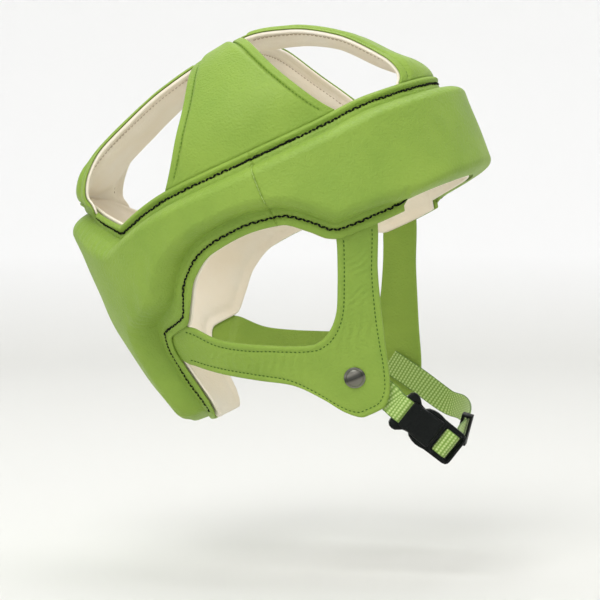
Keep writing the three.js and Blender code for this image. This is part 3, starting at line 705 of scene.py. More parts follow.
front_half = curve([0, 0.5, 0.8, 1], [30, 30.5, 33, 38])
rear_half = curve([0, 0.4, 1], [29, 34, 36])
straps = {"front_strap": (front_half, SADDLE_FRONT, CROWN_FRONT, 0),
          "rear_strap": (rear_half, SADDLE_REAR, -CROWN_REAR, 1.5)}
for name, shape in straps.items():
    v, u = np.meshgrid(np.linspace(0.004, 0.985, 100), 2 * across_shares(80) - 1, indexing="ij")
    half, surface = shape[0], strap_surface(*shape)
    steps = np.linalg.norm(np.diff(surface(v, u), axis=0, prepend=surface(v[:1], u[:1])), axis=-1)
    margin = np.minimum((1 - np.abs(u)) * half(v), 3 + steps.cumsum(0))
    crown_piece((name, name + "_lining"), surface, v, u, margin, v, (-1,))

# %% [markdown]
# ## Ear straps
# A flat leather strap comes out from behind the sewn edge at each temple, goes down in front of the
# ear, turns at the cheek and goes back to the nape. Its two edges are curves of angle and height on
# the ring's inside, so a grid between them lies on the cheek. Both ends go in behind the sewn edge.

# %% Ear straps
EAR_STRAP = [  # beside the ear: angle, height; outer edge: angle, height
    (70.2, -58, 55.8, -58), (71.4, -67.1, 57, -67.1), (76.5, -90, 62.5, -90), (80.4, -104, 66, -109),
    (83.6, -110.5, 69.4, -129), (86.5, -114, 72.5, -149), (88.8, -115.5, 75, -159),
    (91.3, -116, 79.5, -165), (94, -115, 85.5, -165.5), (97.5, -113, 91.5, -159),
    (102, -110, 97.5, -147.2), (107.5, -106, 105.5, -133.8), (113.5, -101.5, 118, -123),
    (124, -92, 132.5, -110.8), (132.2, -79, 144.6, -99.6), (141.5, -69, 154, -89),
]
LEATHER, STRAP_SEWN = 2.2, 4.0  # thickness, and from the edge to the stitches
STRAP_HIDDEN = (2.65, 1.9)  # lifts of both faces between the lining and the cover
ear_place = np.arange(len(EAR_STRAP)) / (len(EAR_STRAP) - 1)
ear_edges = [curve(ear_place, column) for column in np.array(EAR_STRAP).T]


def ear_strap_pattern(u, v):
    """Angle and height on the ring's inside; u from temple to nape, v from the ear outwards."""
    ear_angle, ear_height, out_angle, out_height = (edge(u) for edge in ear_edges)
    return ear_angle + (out_angle - ear_angle) * v, ear_height + (out_height - ear_height) * v


def ear_strap_at(side):
    """Function of u and v for the face against the cheek, on the right (-1) or the left (1)."""
    def at(u, v):
        angle, height = ear_strap_pattern(u, v)
        return ring_point(side * angle, height, 0)

    return at


def ear_strap_width(u):
    """Straight distance between the strap's two edges."""
    at = ear_strap_at(1)
    return np.linalg.norm(at(u, 0 * u) - at(u, 0 * u + 1), axis=-1)


def ear_strap_faces(side, u, v):
    """Outer face, inner face and normals: rounded edges, a sewn line 4 mm in from them, slanted
    wrinkles down the front and a fan of them at the cheek, and both ends squeezed in between the
    lining and the cover of the ring."""
    points, normal = lifted(ear_strap_at(side), u, v, 0 * u)
    normal = normal * -side
    margin = np.minimum(v, 1 - v) * ear_strap_width(u)
    near = rounded(margin, 1.1)
    along, up = points[..., 0], points[..., 2]
    slant = np.sin(1.75 * up - 0.4 * along + 1.2 * np.sin(0.4 * along + 0.1 * up))
    patchy = 0.55 + 0.45 * np.sin(0.29 * up + 0.5 * np.sin(0.35 * along))
    fan = np.sin(1.05 * along - 0.55 * up + np.sin(0.4 * up)) * bell(up + 118, 15)
    wrinkle = (0.3 * slant * patchy * ease(-114, -90, up) + 0.28 * fan) * ease(3, 8, margin)
    sewn_in = 0.25 * bell(margin - 1.8, 1.4) - 0.45 * bell(margin - STRAP_SEWN, 0.8)
    outer = LEATHER + wrinkle + sewn_in
    hide = 1 - ease(0.045, 0.075, u) + ease(0.92, 0.94, u)
    outer = outer + (STRAP_HIDDEN[0] - outer) * hide
    lifts = closed_lifts(outer, STRAP_HIDDEN[1] * hide, near)
    return *(points + normal * lift[..., None] for lift in lifts), normal


eu, ev = np.meshgrid(np.linspace(0, 1, 560), across_shares(40), indexing="ij")
ear_pattern = np.stack(ear_strap_pattern(eu, ev), -1) / 1000
for side, name in ((-1, "ear_strap_right"), (1, "ear_strap_left")):
    outside, inside, _ = (grid[:, ::-side] for grid in ear_strap_faces(side, eu, ev))
    shell(name, outside, inside, ear_pattern[:, ::-side], "leather", name)

# %% [markdown]
# ## Rivets
# A domed metal cap at each cheek holds the strap and the webbing. A flattened UV sphere would look much
# the same from the front, but has no flange. Here a profile of radius and height, with its flange, groove
# and dome, is carried round the normal of the cheek, and each end is closed with a row of quads.

# %% Rivets
RIVET_ANGLE, RIVET_HEIGHT, RIVET_RADIUS, RIVET_TURNS = 83.5, -142, 6.2, 48


def ring_normal(angle, height, lift=0):
    """Unit normal of the ring's inside, or of the surface at a lift from it: the cross product of a
    step round it and a step up."""
    at = ring_point(angle, height, lift)
    around, up = ring_point(angle + 1, height, lift), ring_point(angle, height + 1, lift)
    return unit(np.cross(around - at, up - at))


def rivet(name, side):
    """Profile turned about the normal: a low flange, a small groove and a dome."""
    dome = np.linspace(0, np.pi / 2, 12)
    radius = np.concatenate([[0.05, 6.0, RIVET_RADIUS, RIVET_RADIUS, 6.0, 5.5, 5.2], 5.1 * np.cos(dome)])
    height = np.concatenate([[0, 0, 0.2, 0.5, 0.7, 0.75, 0.65], 0.8 + 1.8 * np.sin(dome)])
    radius = np.maximum(radius, 0.05)
    turn = np.linspace(0, 2 * np.pi, RIVET_TURNS, endpoint=False)
    normal = ring_normal(side * RIVET_ANGLE, RIVET_HEIGHT)
    first = unit(np.cross(normal, [0, 0, 1]))
    second = np.cross(normal, first)
    centre = ring_point(side * RIVET_ANGLE, RIVET_HEIGHT, 0) + normal * (LEATHER + 0.15)
    spoke = np.cos(turn)[:, None] * first + np.sin(turn)[:, None] * second
    grid = centre + spoke[:, None] * radius[:, None] + normal * height[:, None]
    index = np.arange(grid.size // 3).reshape(grid.shape[:2])
    after = np.roll(index, -1, axis=0)
    k = np.arange(RIVET_TURNS // 2 - 1)
    cap = quads(k, k + 1, RIVET_TURNS - 2 - k, RIVET_TURNS - 1 - k)
    faces = [quads(index[:, :-1], after[:, :-1], after[:, 1:], index[:, 1:]),
             index[::-1, 0][cap], index[:, -1][cap]]
    points = worn(grid.reshape(-1, 3))
    uv = np.stack([np.cos(turn)[:, None] * radius, -np.sin(turn)[:, None] * radius], -1)
    uv = 0.5 + 0.5 * uv.reshape(-1, 2) / RIVET_RADIUS
    return make_piece(name, points, np.concatenate(faces), uv, "metal", name)


rivet("rivet_right", -1)
rivet("rivet_left", 1)

# %% [markdown]
# ## Chin strap
# Woven webbing, 15 mm wide, comes out from behind each cheek. The short one on the right goes round
# the bar of the buckle's socket; the long one goes round the plug's bar and under the chin to the
# left cheek. A strip is a row of frames along a smooth route, and each frame carries a profile with
# the ribs of the weave.

# %% Routes of the webbing
WEB_WIDTH, WEB_THICK, GAP = 15.0, 1.5, 0.3
CHEEK_LEAN, CHEEK_DEPTH = 42, 1.8  # lean of the webbing and its depth behind the strap
BAR = np.array([28.4, -51, -170])
BUCKLE_END = np.array([46.2, -43.5, -202.7])
BUCKLE_WIDTH_WAY = np.array([0.845, 0.124, 0.518])
BUCKLE_THICK = 5.0
FACE_CLEAR = BUCKLE_THICK / 2 + 2 * GAP + WEB_THICK / 2
buckle_along = unit(BUCKLE_END - BAR)
buckle_out = unit(np.cross(buckle_along, BUCKLE_WIDTH_WAY))
buckle_across = np.cross(buckle_out, buckle_along)


def on_buckle(along, out):
    """Place on the buckle's middle line, along it and out from its middle plane."""
    return BAR + along * buckle_along + out * buckle_out


def leaning(degrees):
    """Direction of the webbing's width: up, leaning forward."""
    return np.array([np.sin(np.radians(degrees)), 0, np.cos(np.radians(degrees))])


def cheek_stops(side):
    """Two stops behind an ear strap, flat against it."""
    found = []
    for angle, height in ((RIVET_ANGLE, RIVET_HEIGHT), (75.6, -159)):
        normal = ring_normal(side * angle, height)
        across = leaning(CHEEK_LEAN)
        across = unit(across - across.dot(normal) * normal)
        found.append((ring_point(side * angle, height, 0) - CHEEK_DEPTH * normal, across))
    return found


SOCKET_SLOT, PLUG_SLOTS = (2, 6.4), ((25.2, 29.2), (33.6, 37.6))
CHIN = [  # x, y, z, lean
    (45, -22, -197, 46), (49, 0, -195, 38), (50, 20, -190, 34), (45, 40, -184, 36), (36, 52, -178, 40),
]
slot_middle = sum(SOCKET_SLOT) / 2
sewn = [(-6, 0.6), (-1.6, FACE_CLEAR), (1.6, FACE_CLEAR), (slot_middle, 1.6), (slot_middle, -1.6),
        (1.6, -FACE_CLEAR), (-1.6, -FACE_CLEAR), (-9, -FACE_CLEAR + 0.6)]
right_route = cheek_stops(-1) + [(on_buckle(*at), buckle_across) for at in sewn]
first, second = (sum(slot) / 2 for slot in PLUG_SLOTS)
threaded = [(16, -FACE_CLEAR - 0.4), (22, -FACE_CLEAR - 0.2), (first - 1.2, -FACE_CLEAR), (first, -1.6),
            (first, 1.6), (first + 2.2, FACE_CLEAR), (second - 2.2, FACE_CLEAR), (second, 1.6),
            (second, -1.6), (second + 0.4, -7)]
chin_route = [(on_buckle(*at), buckle_across) for at in threaded]
chin_route += [(np.array(row[:3], float), leaning(row[3])) for row in CHIN] + cheek_stops(1)[::-1]
print("stops of the two webbings:", len(right_route), "and", len(chin_route))

# %% [markdown]
# ## Frames along a route
# A strip needs a direction along, across and out at every step. A Bezier curve with a bevel object would
# give these too, but would twist freely where the strap turns back on itself. Here every stop says
# which way the strip's width points, so the strip turns only as the real one does.

# %% Frames along a route
def strip_frames(route, t):
    """Centripetal Catmull-Rom curve through the stops: a cubic in each span whose end slopes come
    from the stops beside it, weighted by the square roots of their distances."""
    at = np.array([stop[0] for stop in route])
    width = np.array([stop[1] for stop in route])
    at = np.concatenate([[2 * at[0] - at[1]], at, [2 * at[-1] - at[-2]]])
    place = t * (len(route) - 1)
    i = np.minimum(place.astype(int), len(route) - 2)
    w = (place - i)[:, None]
    a, b, c, d = (at[i + k] for k in range(4))
    gap = [np.sqrt(np.linalg.norm(q - p, axis=-1, keepdims=True)) for p, q in ((a, b), (b, c), (c, d))]
    start = ((b - a) / gap[0] - (c - a) / (gap[0] + gap[1]) + (c - b) / gap[1]) * gap[1]
    stop = ((c - b) / gap[1] - (d - b) / (gap[1] + gap[2]) + (d - c) / gap[2]) * gap[1]
    third, fourth = -3 * b + 3 * c - 2 * start - stop, 2 * b - 2 * c + start + stop
    points = b + w * (start + w * (third + w * fourth))
    along = unit(start + w * (2 * third + 3 * w * fourth))
    across = width[i] + (width[i + 1] - width[i]) * w
    across = unit(across - (across * along).sum(-1, keepdims=True) * along)
    return points, along, across, np.cross(along, across)


print("the chin webbing starts at", strip_frames(chin_route, np.zeros(1))[0].round(1), "mm")

# %% [markdown]
# ## Webbing
# Webbing is woven flat, with rows of small knots and a rounded selvedge. A bump alone would leave its
# edge and its outline smooth, so the knots are real: a wave across the strip, out of step from row to row.
# The height of the weave is kept as an attribute, and the finish paints shade between the knots and a
# highlight on them by it.

# %% Webbing
PICK, RIB_WAVES, WEAVE_HEIGHT = 2.1, 4.5, 0.22  # row to row, knots from the middle to an edge, relief
WEB_STEP = 0.45


def run_length(points):
    """Length along a line up to each of its points."""
    return np.r_[0, np.linalg.norm(np.diff(points, axis=0), axis=1).cumsum()]


def even_steps(route, step):
    """Values along a route whose points lie about one step apart, and the route's length."""
    fine = np.linspace(0, 1, 4000)
    length = run_length(strip_frames(route, fine)[0])
    count = int(length[-1] / step)
    return np.interp(np.linspace(0, length[-1], count), length, fine), length[-1]


def webbing(name, route):
    """Strip whose two faces carry the weave: rows of picks across the strip, each row a wave of
    small knots, out of step with the rows beside it, and rounded selvedges."""
    t, length = even_steps(route, WEB_STEP)
    points, _, across, face = strip_frames(route, t)
    side = np.linspace(-1, 1, 64)
    edge = np.sqrt(np.clip(1 - np.abs(side) ** 14, 0.04, 1))
    run = np.linspace(0, length, len(t))[:, None]
    pick = 0.5 + 0.5 * np.cos(run * 2 * np.pi / PICK)
    rib = 0.5 + 0.5 * np.cos(side * RIB_WAVES * 2 * np.pi + np.pi * np.floor(run / PICK + 0.5))
    weave = (0.3 + 0.7 * pick * (0.35 + 0.65 * rib)) * (np.abs(side) < 0.96)
    lift = (WEB_THICK / 2 - 0.2) * edge + WEAVE_HEIGHT * weave
    base = points[:, None] + across[:, None] * (side * WEB_WIDTH / 2)[None, :, None]
    up = face[:, None] * lift[..., None]
    uv = np.stack(np.broadcast_arrays(run, side * WEB_WIDTH / 2), -1) / 1000
    print(f"{name}: {length:.0f} mm long")
    strip = shell(name, base + up, base - up, uv, "webbing", name)
    layer = strip.data.attributes.new("weave", "FLOAT", "POINT")
    layer.data.foreach_set("value", np.tile(weave.ravel(), 2).astype(np.float32))
    return strip


webbing("webbing_right", right_route)
webbing("webbing_chin", chin_route)

# %% [markdown]
# ## Plates of moulded plastic
# Buckle and slider are moulded plates with rounded edges and square slots. A flat closed curve with its
# slots as inner curves, extruded and bevelled, gives rounded edges all round with no modelling of
# corners. It is then made a mesh, and its points are put in their place.

# %% Plastic plates
def even_outline(half):
    """Closed outline from the points of its upper half."""
    return np.array(half + [(x, -y) for x, y in half[::-1]], float)


def box_outline(low, high, half):
    """Four corners of a slot or a block."""
    return np.array([(low, -half), (high, -half), (high, half), (low, half)], float)


def plate(outlines, thickness, bevel):
    """Mesh of a flat plate with holes, its edges rounded by the bevel."""
    flat = bpy.data.curves.new("plate", "CURVE")
    flat.dimensions, flat.fill_mode = "2D", "BOTH"
    flat.extrude, flat.bevel_depth, flat.bevel_resolution = thickness / 2 - bevel, bevel, 3
    flat.offset = -bevel
    for outline in outlines:
        spline = flat.splines.new("POLY")
        spline.points.add(len(outline) - 1)
        corners = np.c_[outline, np.zeros(len(outline)), np.ones(len(outline))]
        spline.points.foreach_set("co", corners.ravel())
        spline.use_cyclic_u = True
    holder = bpy.data.objects.new("plate", flat)
    mesh = bpy.data.meshes.new_from_object(holder)
    bpy.data.objects.remove(holder)
    return mesh


def moulding(name, plates, place, slot):
    """Joins plates given as (mesh, lift) and moves their points with the function place."""
    whole = bmesh.new()
    for mesh, lift in plates:
        before = len(whole.verts)
        whole.from_mesh(mesh)
        whole.verts.ensure_lookup_table()
        bmesh.ops.translate(whole, verts=whole.verts[before:], vec=(0, 0, lift))
    bmesh.ops.remove_doubles(whole, verts=whole.verts, dist=0.004)
    bmesh.ops.recalc_face_normals(whole, faces=whole.faces)
    mesh = bpy.data.meshes.new(name)
    whole.to_mesh(mesh)
    whole.free()
    points = np.empty(len(mesh.vertices) * 3)
    mesh.vertices.foreach_get("co", points)
    mesh.vertices.foreach_set("co", worn(place(points.reshape(-1, 3))).ravel())
    mesh.update()
    return hand_over(bpy.data.objects.new(name + "_finished", mesh), slot, slot, name)


# %% [markdown]
# ## Buckle
# The socket is a broad plate with a raised hood over its mouth and a lip at its bar; the plug has two
# slots and a thicker end bar. Boxes joined by a Boolean would need their edges bevelled afterwards. Each
# outline here is drawn once as its upper half, and the lower half mirrors it.

# %% Buckle
SOCKET_HALF = [
    (-2.6, 8.6), (-2.2, 10.6), (-0.8, 12), (1.2, 12.4), (3.2, 12), (5, 10.6), (6.6, 9.2), (8.4, 8.7),
    (9.9, 8.5), (10.1, 6.6), (22, 6.6),
]
HOOD_HALF = [(5.8, 7), (6.6, 8), (9, 8.2), (14, 8.6), (20, 8.9), (22.6, 9), (23.6, 8)]
LIP_HALF = [(2, 7.4), (2.6, 8.2), (7, 8.4), (8, 7.4)]
PLUG_HALF = [
    (22.9, 6.2), (22.4, 6.9), (10.4, 6.9), (10.4, 8.6), (12, 10), (14.5, 10.9), (17.5, 11.4),
    (20.5, 11.2), (23, 10.7), (26, 10.6), (36.4, 10.5), (38.4, 9.9), (39.5, 8.6), (39.8, 7),
]
END_BAR_HALF = [(36.7, 9.6), (37.3, 9.9), (38.5, 9.5), (39.4, 8.4), (39.7, 7)]
SLOT_HALF = 7.45


def buckle_place(points):
    """Plate coordinates (along, across, out) to the helmet's frame."""
    return BAR + points[:, :1] * buckle_along + points[:, 1:2] * buckle_across + points[:, 2:] * buckle_out


socket = plate([even_outline(SOCKET_HALF), box_outline(2.9, 5.4, SLOT_HALF)], 6.2, 1.2)
hood = plate([even_outline(HOOD_HALF)], 9, 1.8)
lip = plate([even_outline(LIP_HALF)], 1.7, 0.7)
moulding("buckle_socket", [(socket, 0), (hood, 1.9), (lip, 5.5)], buckle_place, "plastic")
plug = plate([even_outline(PLUG_HALF), box_outline(26.2, 28.3, SLOT_HALF),
              box_outline(34.6, 36.6, SLOT_HALF)], 6.2, 1.0)
end_bar = plate([even_outline(END_BAR_HALF)], 7.6, 1.5)
moulding("buckle_plug", [(plug, 0), (end_bar, 0)], buckle_place, "plastic")

# %% [markdown]
# ## Slider
# A flat loop of the same plastic, through which the webbing is shortened. A torus would have a round bar;
# a plate with a slot has the square one of the real slider. It stands across the strip, so its place is
# the strip's own frame at that share of the route.

# %% Slider
SLIDER_SHARE = 41 / 60
slider_at, slider_along, slider_across, slider_face = (
    part[0] for part in strip_frames(chin_route, np.array([SLIDER_SHARE])))


def slider_place(points):
    """Plate coordinates (through the strip, across it, along it) to the helmet's frame."""
    through, across, along = points[:, :1], points[:, 1:2], points[:, 2:]
    return slider_at - through * slider_face + across * slider_across + along * slider_along


loop = plate([box_outline(-3.2, 3.2, 9.4), box_outline(-1.6, 1.6, 7.8)], 6.0, 0.5)
moulding("strap_slider", [(loop, 0)], slider_place, "plastic")

# %% [markdown]
# ## Stitches
# Black zigzag thread holds the flat edges of the ring; finer green thread runs round the ear straps
# and along the crown's margins. Each leg of a stitch is a short thread that dips into the leather at
# both ends, so hundreds of them share one formula: a round profile on five points of a low arch.

# %% Threads
ARCH = np.array([-0.55, 0.25, 0.5, 0.25, -0.55])
TAPER = np.array([0.55, 0.95, 1, 0.95, 0.55])


def threads(name, starts, ends, ups, radius, rise, slot, finish):
    """Threads from starts to ends, all at once: each is an arch of five rings of six points."""
    t = np.linspace(0, 1, 5)
    middle = starts[:, None] + (ends - starts)[:, None] * t[:, None]
    middle = middle + ups[:, None] * (ARCH * rise)[:, None]
    along = unit(ends - starts)
    side = unit(np.cross(along, ups))
    up = np.cross(side, along)
    turn = np.arange(6) * np.pi / 3
    ring = np.cos(turn)[:, None] * side[:, None] + np.sin(turn)[:, None] * up[:, None]
    grid = middle[:, :, None] + ring[:, None] * (radius * TAPER)[:, None, None]
    index = np.arange(grid.size // 3).reshape(grid.shape[:3])
    after = np.roll(index, -1, axis=2)
    first, last = index[:, 0], index[:, -1]
    faces = [quads(index[:, :-1], index[:, 1:], after[:, 1:], after[:, :-1]), first[:, [0, 1, 2, 3]],
             first[:, [3, 4, 5, 0]], last[:, [3, 2, 1, 0]], last[:, [0, 5, 4, 3]]]
    points = worn(grid.reshape(-1, 3))
    return make_piece(name, points, np.concatenate(faces), points[:, [0, 2]], slot, finish=finish)


print("points in a stitch:", len(ARCH) * 6)

# %% [markdown]
# ## Black stitches of the ring
# The zigzag runs along the ring's flat edges, and is drawn on the ring's pattern laid out flat, as it
# would be chalked on the leather. A Curve modifier could bend a straight row of stitches, but it would
# stretch them in the corners. Here all the pattern points are put on the ring at once, as one array.

# %% Black stitches of the ring
SOFTEN = 17  # points in the running mean that softens the corners of a line
STITCH_LIFT = 5.0


def sample(at, run, points):
    """Points at given lengths along a line, whose own points lie at the lengths run."""
    return np.stack([np.interp(at, run, column) for column in points.T], -1)


def spaced(line, step):
    """Points and directions at even steps along a line on the laid-out pattern, softened a little."""
    line = np.asarray(line, float) * [DEGREE, 1]
    run = run_length(line)
    dense = sample(np.arange(0, run[-1], 0.25), run, line)
    ends = SOFTEN // 2
    padded = np.pad(dense, ((ends, ends), (0, 0)), mode="reflect", reflect_type="odd")
    mean = np.ones(SOFTEN) / SOFTEN
    soft = np.stack([np.convolve(column, mean, "valid") for column in padded.T], -1)
    length = run_length(soft)
    at = np.arange(0, length[-1], step)
    ahead, behind = sample(at + 0.2, length, soft), sample(at - 0.2, length, soft)
    return sample(at, length, soft), unit(ahead - behind)


def on_ring(side, flat):
    """Places of pattern points on the outside of the ring, on the right (-1) or the left (1), and the
    directions out of it."""
    angle, height = side * flat[:, 0] / DEGREE, flat[:, 1]
    place = ring_point(angle, height, foam_lift(angle, height))
    return place, ring_normal(angle, height, STITCH_LIFT)


def zigzag(line, step, swing):
    """Ends of zigzag legs on the pattern: points at even steps, swung to either side in turn."""
    points, along = spaced(line, step)
    normal = np.stack([-along[:, 1], along[:, 0]], -1)
    count = np.arange(len(points))
    uneven = 1 + 0.3 * np.sin(count * 0.71) + 0.25 * np.sin(count * 2.37 + 1)
    return points + normal * (swing * uneven * (-1.0) ** count)[:, None]


def ring_stitches(name, lines, step, swing, radius, finish="black_thread"):
    """Zigzag legs along lines of the pattern, on both sides of the helmet."""
    legs = []
    for side in (-1, 1):
        for line in lines:
            place, out = on_ring(side, zigzag(line, step, swing))
            legs.append((place[:-1], place[1:], unit(out[:-1] + out[1:])))
    joined = [np.concatenate(group) for group in zip(*legs)]
    return threads(name, *joined, radius, 0.75, "plastic", finish)


# %% [markdown]
# ## Lines of the black stitches
# Two lines follow the ring's edges at one distance, as the guide beside a sewing machine's foot keeps it.
# One goes down beside the nape, and a fine pale one closes the side seam. Where a row begins or ends, the
# stitches are doubled. The lines could be traced by hand; worked out from the edges, they follow them.

# %% Lines of the black stitches
def offset_line(edge, distance, low, high, sign):
    """Line at a distance from an edge: at each place the deepest reach of circles round its points."""
    angle = np.linspace(low, high, 500)
    around = np.linspace(-distance, distance, 61)
    reach = np.sqrt(distance**2 - around**2)
    heights = edge(np.clip(angle[:, None] + around / DEGREE, 0, 180)) + sign * reach
    return np.stack([angle, heights.min(1) if sign < 0 else heights.max(1)], -1)


def flange(angle):
    """Lower edge without its step at the temple."""
    return bottom(np.maximum(angle, TAB + 0.5))


upper_line = offset_line(top, UPPER_SEWN, 0.4, 179.6, -1)
corner = [(129.6, -72.9), (138.3, -75.3), (145.2, -76.3)]
lower_line = np.concatenate([offset_line(flange, LOWER_SEWN, TAB + 0.7, 125, 1), corner])
nape_line = [(145.2, -76.3), (148.6, -84), (150.8, -91.5), (153, -100.5), (154.4, -112), (155.5, -122),
             (158.2, -131.4)]
ring_stitches("zigzag_stitches", [upper_line, lower_line], 2.1, 0.6, 0.6)
ring_stitches("nape_stitches", [nape_line], 2.3, 0.5, 0.52)
seam_line = np.stack([np.full(40, SEAM), np.linspace(top(SEAM) - 8, groove(SEAM) + 1, 40)], -1)
ring_stitches("seam_stitches", [seam_line], 2.4, 0.06, 0.2, "pale_thread")
twice = upper_line[(upper_line[:, 0] > 71) & (upper_line[:, 0] < 92)]
ring_stitches("doubled_stitches", [twice, lower_line[:14]], 1.1, 0.55, 0.5)

# %% [markdown]
# ## Stitches of the ear straps
# A running stitch goes round both edges of each strap: a thread, a short gap, and the next thread. An
# array along a curve would space them evenly too, but not let them lie on the wrinkled leather. So the
# line is taken from the strap's own face, and cut into threads by its length.

# %% Stitches of the ear straps
STITCH_STEP, STITCH_LENGTH = 2.5, 1.8


def run_stitches(place, out):
    """Starts, ends and up directions of a running stitch along a dense row of points."""
    run = run_length(place)
    at = np.arange(STITCH_STEP, run[-1] - STITCH_STEP, STITCH_STEP)
    up = unit(sample(at + STITCH_LENGTH / 2, run, out))
    return sample(at, run, place), sample(at + STITCH_LENGTH, run, place), up


parts = []
line = np.linspace(0.055, 0.945, 640)
sewn_share = STRAP_SEWN / ear_strap_width(line)
for side in (-1, 1):
    for v in (sewn_share, 1 - sewn_share):
        place, _, out = ear_strap_faces(side, line, v)
        parts.append(run_stitches(place, out))
joined = [np.concatenate(group) for group in zip(*parts)]
threads("ear_strap_stitches", *joined, 0.34, 0.36, "leather", "green_thread")

# %% [markdown]
# ## Stitches of the crown and its lining
# Tonal thread runs along the crease of each cover, and cream thread along its lining. They could be a
# texture, but the thread casts a small shadow that shows at the edge of each window. The lines follow
# the same surfaces and layers as the pieces, at one distance from the edge.

# %% Stitches of the crown and its lining
COVER_SEWN, LINING_SEWN = 4.7, 6.5  # from the edge to the stitches
OUTSIDE, INSIDE = 0, 3  # the layers that they lie on


def crown_row(surface, u, v, way, margin, layer):
    """Running stitch on one layer of a crown piece, at one distance from the edge."""
    points, out = lifted(surface, u, v, going_in(way))
    lift = crown_layers(np.full_like(way, margin), way)[layer]
    return run_stitches(points + out * lift[:, None], out if layer == OUTSIDE else -out)


outside, inside = [], []
rows = ((COVER_SEWN, OUTSIDE, outside), (LINING_SEWN, INSIDE, inside))
line = np.linspace(-0.975, 0.975, 400)
width = np.linalg.norm(saddle_point(line, 0 * line) - saddle_point(line, 0 * line + 1), axis=-1)
for margin, layer, parts in rows:
    for v in (margin / width, 1 - margin / width):
        parts.append(crown_row(saddle_point, line, v, np.abs(line), margin, layer))
line = np.linspace(0.03, 0.95, 300)
for shape in straps.values():
    half, surface = shape[0], strap_surface(*shape)
    for margin, layer, parts in rows:
        for u in (1 - margin / half(line), margin / half(line) - 1):
            parts.append(crown_row(surface, line, u, line, margin, layer))
joined = [np.concatenate(group) for group in zip(*outside)]
threads("crown_stitches", *joined, 0.28, 0.34, "leather", "tonal_thread")
joined = [np.concatenate(group) for group in zip(*inside)]
threads("lining_stitches", *joined, 0.3, 0.34, "lining", "cream_thread")

# %% [markdown]
# ## Finishes
# Every finish is made of nodes: a texture, a colour ramp on it, and a bump. The helpers below add a node
# with its values, a ramp and a row of bumps, so that each finish reads as a short recipe. The same could
# be drawn in the Shader Editor, one node at a time.

# %% Material helpers
def new_material(name):
    """Material with an empty Principled surface; returns it with its node tree and shader."""
    material = bpy.data.materials.new(name)
    material.use_nodes = True
    tree = material.node_tree
    return material, tree, tree.nodes["Principled BSDF"]


def node(tree, kind, **values):
    """Node of a kind with the values of its named inputs."""
    new = tree.nodes.new(kind)
    for key, value in values.items():
        new.inputs[key.replace("_", " ")].default_value = value
    return new


def colour_ramp(tree, factor, marks):
    """Colour ramp on a factor, from (position, colour) marks."""
    ramp = tree.nodes.new("ShaderNodeValToRGB")
    first, last = ramp.color_ramp.elements
    first.position, first.color = marks[0]
    last.position, last.color = marks[-1]
    for position, colour in marks[1:-1]:
        ramp.color_ramp.elements.new(position).color = colour
    tree.links.new(factor, ramp.inputs["Fac"])
    return ramp.outputs["Color"]


def bump(tree, heights, shader):
    """Bump nodes in a row, each from (height socket, strength, distance in metres)."""
    normal = None
    for height, strength, distance in heights:
        step = node(tree, "ShaderNodeBump", Strength=strength, Distance=distance)
        tree.links.new(height, step.inputs["Height"])
        if normal is not None:
            tree.links.new(normal, step.inputs["Normal"])
        normal = step.outputs["Normal"]
    tree.links.new(normal, shader.inputs["Normal"])


print("finishes wanted:", sorted(set(made.values())))

# %% [markdown]
# ## Leather and lining
# Soft leather has a fine pebbled grain, a slightly uneven green and a soft sheen; the lining is a paler,
# more matt one. A photograph of leather would need a UV map without seams. The grain here is a bump from
# small cells on Object coordinates, so it keeps its size on every piece.

# %% Leather and lining
GRAIN_DEPTH = 0.0006


def grained(name, dark, light, scale, grain, roughness):
    """Leather: pebble cells and creases as bump, slow noise between two colours, uneven gloss."""
    material, tree, shader = new_material(name)
    place = tree.nodes.new("ShaderNodeTexCoord").outputs["Object"]
    cells = node(tree, "ShaderNodeTexVoronoi", Scale=scale, Randomness=1.0)
    cells.feature = "SMOOTH_F1"
    pores = node(tree, "ShaderNodeTexNoise", Scale=scale * 0.55, Detail=4.0, Roughness=0.6)
    slow = node(tree, "ShaderNodeTexNoise", Scale=26.0, Detail=3.0, Roughness=0.55)
    for texture in (cells, pores, slow):
        tree.links.new(place, texture.inputs["Vector"])
    tree.links.new(colour_ramp(tree, slow.outputs["Fac"], [(0.3, dark), (0.7, light)]),
                   shader.inputs["Base Color"])
    gloss = node(tree, "ShaderNodeMapRange", From_Min=0.3, From_Max=0.7, To_Min=roughness - 0.06,
                 To_Max=roughness + 0.08)
    tree.links.new(pores.outputs["Fac"], gloss.inputs["Value"])
    tree.links.new(gloss.outputs["Result"], shader.inputs["Roughness"])
    shader.inputs["Specular IOR Level"].default_value = 0.26
    heights = (cells.outputs["Distance"], pores.outputs["Fac"])
    bump(tree, [(height, grain, GRAIN_DEPTH) for height in heights], shader)
    return material


finish = {
    "leather": grained("green_leather", dark=(0.227, 0.358, 0.051, 1), light=(0.282, 0.422, 0.063, 1),
                       scale=880.0, grain=0.52, roughness=0.5),
    "lining": grained("cream_leather", dark=(0.95, 0.85, 0.69, 1), light=(0.98, 0.91, 0.79, 1),
                      scale=900.0, grain=0.25, roughness=0.62),
}
print("leathers:", list(finish))

# %% [markdown]
# ## Finish of the webbing
# The webbing's green carries painted shade and highlight from the height of its weave: dark between the
# knots and pale on them. A checker texture would ignore the knots' own shape, so the finish reads the
# attribute that was kept with the mesh, and a fine noise on the UV map gives the fuzz of fibres.

# %% Finish of the webbing
# painted shade and highlight: dark green deep in the weave and at the selvedge, pale green on the knots
WEAVE_SHADE_AND_HIGHLIGHT = [(0.22, (0.1, 0.2, 0.02, 1)), (0.5, (0.3, 0.47, 0.09, 1)), (0.95, (0.6, 0.72, 0.32, 1))]


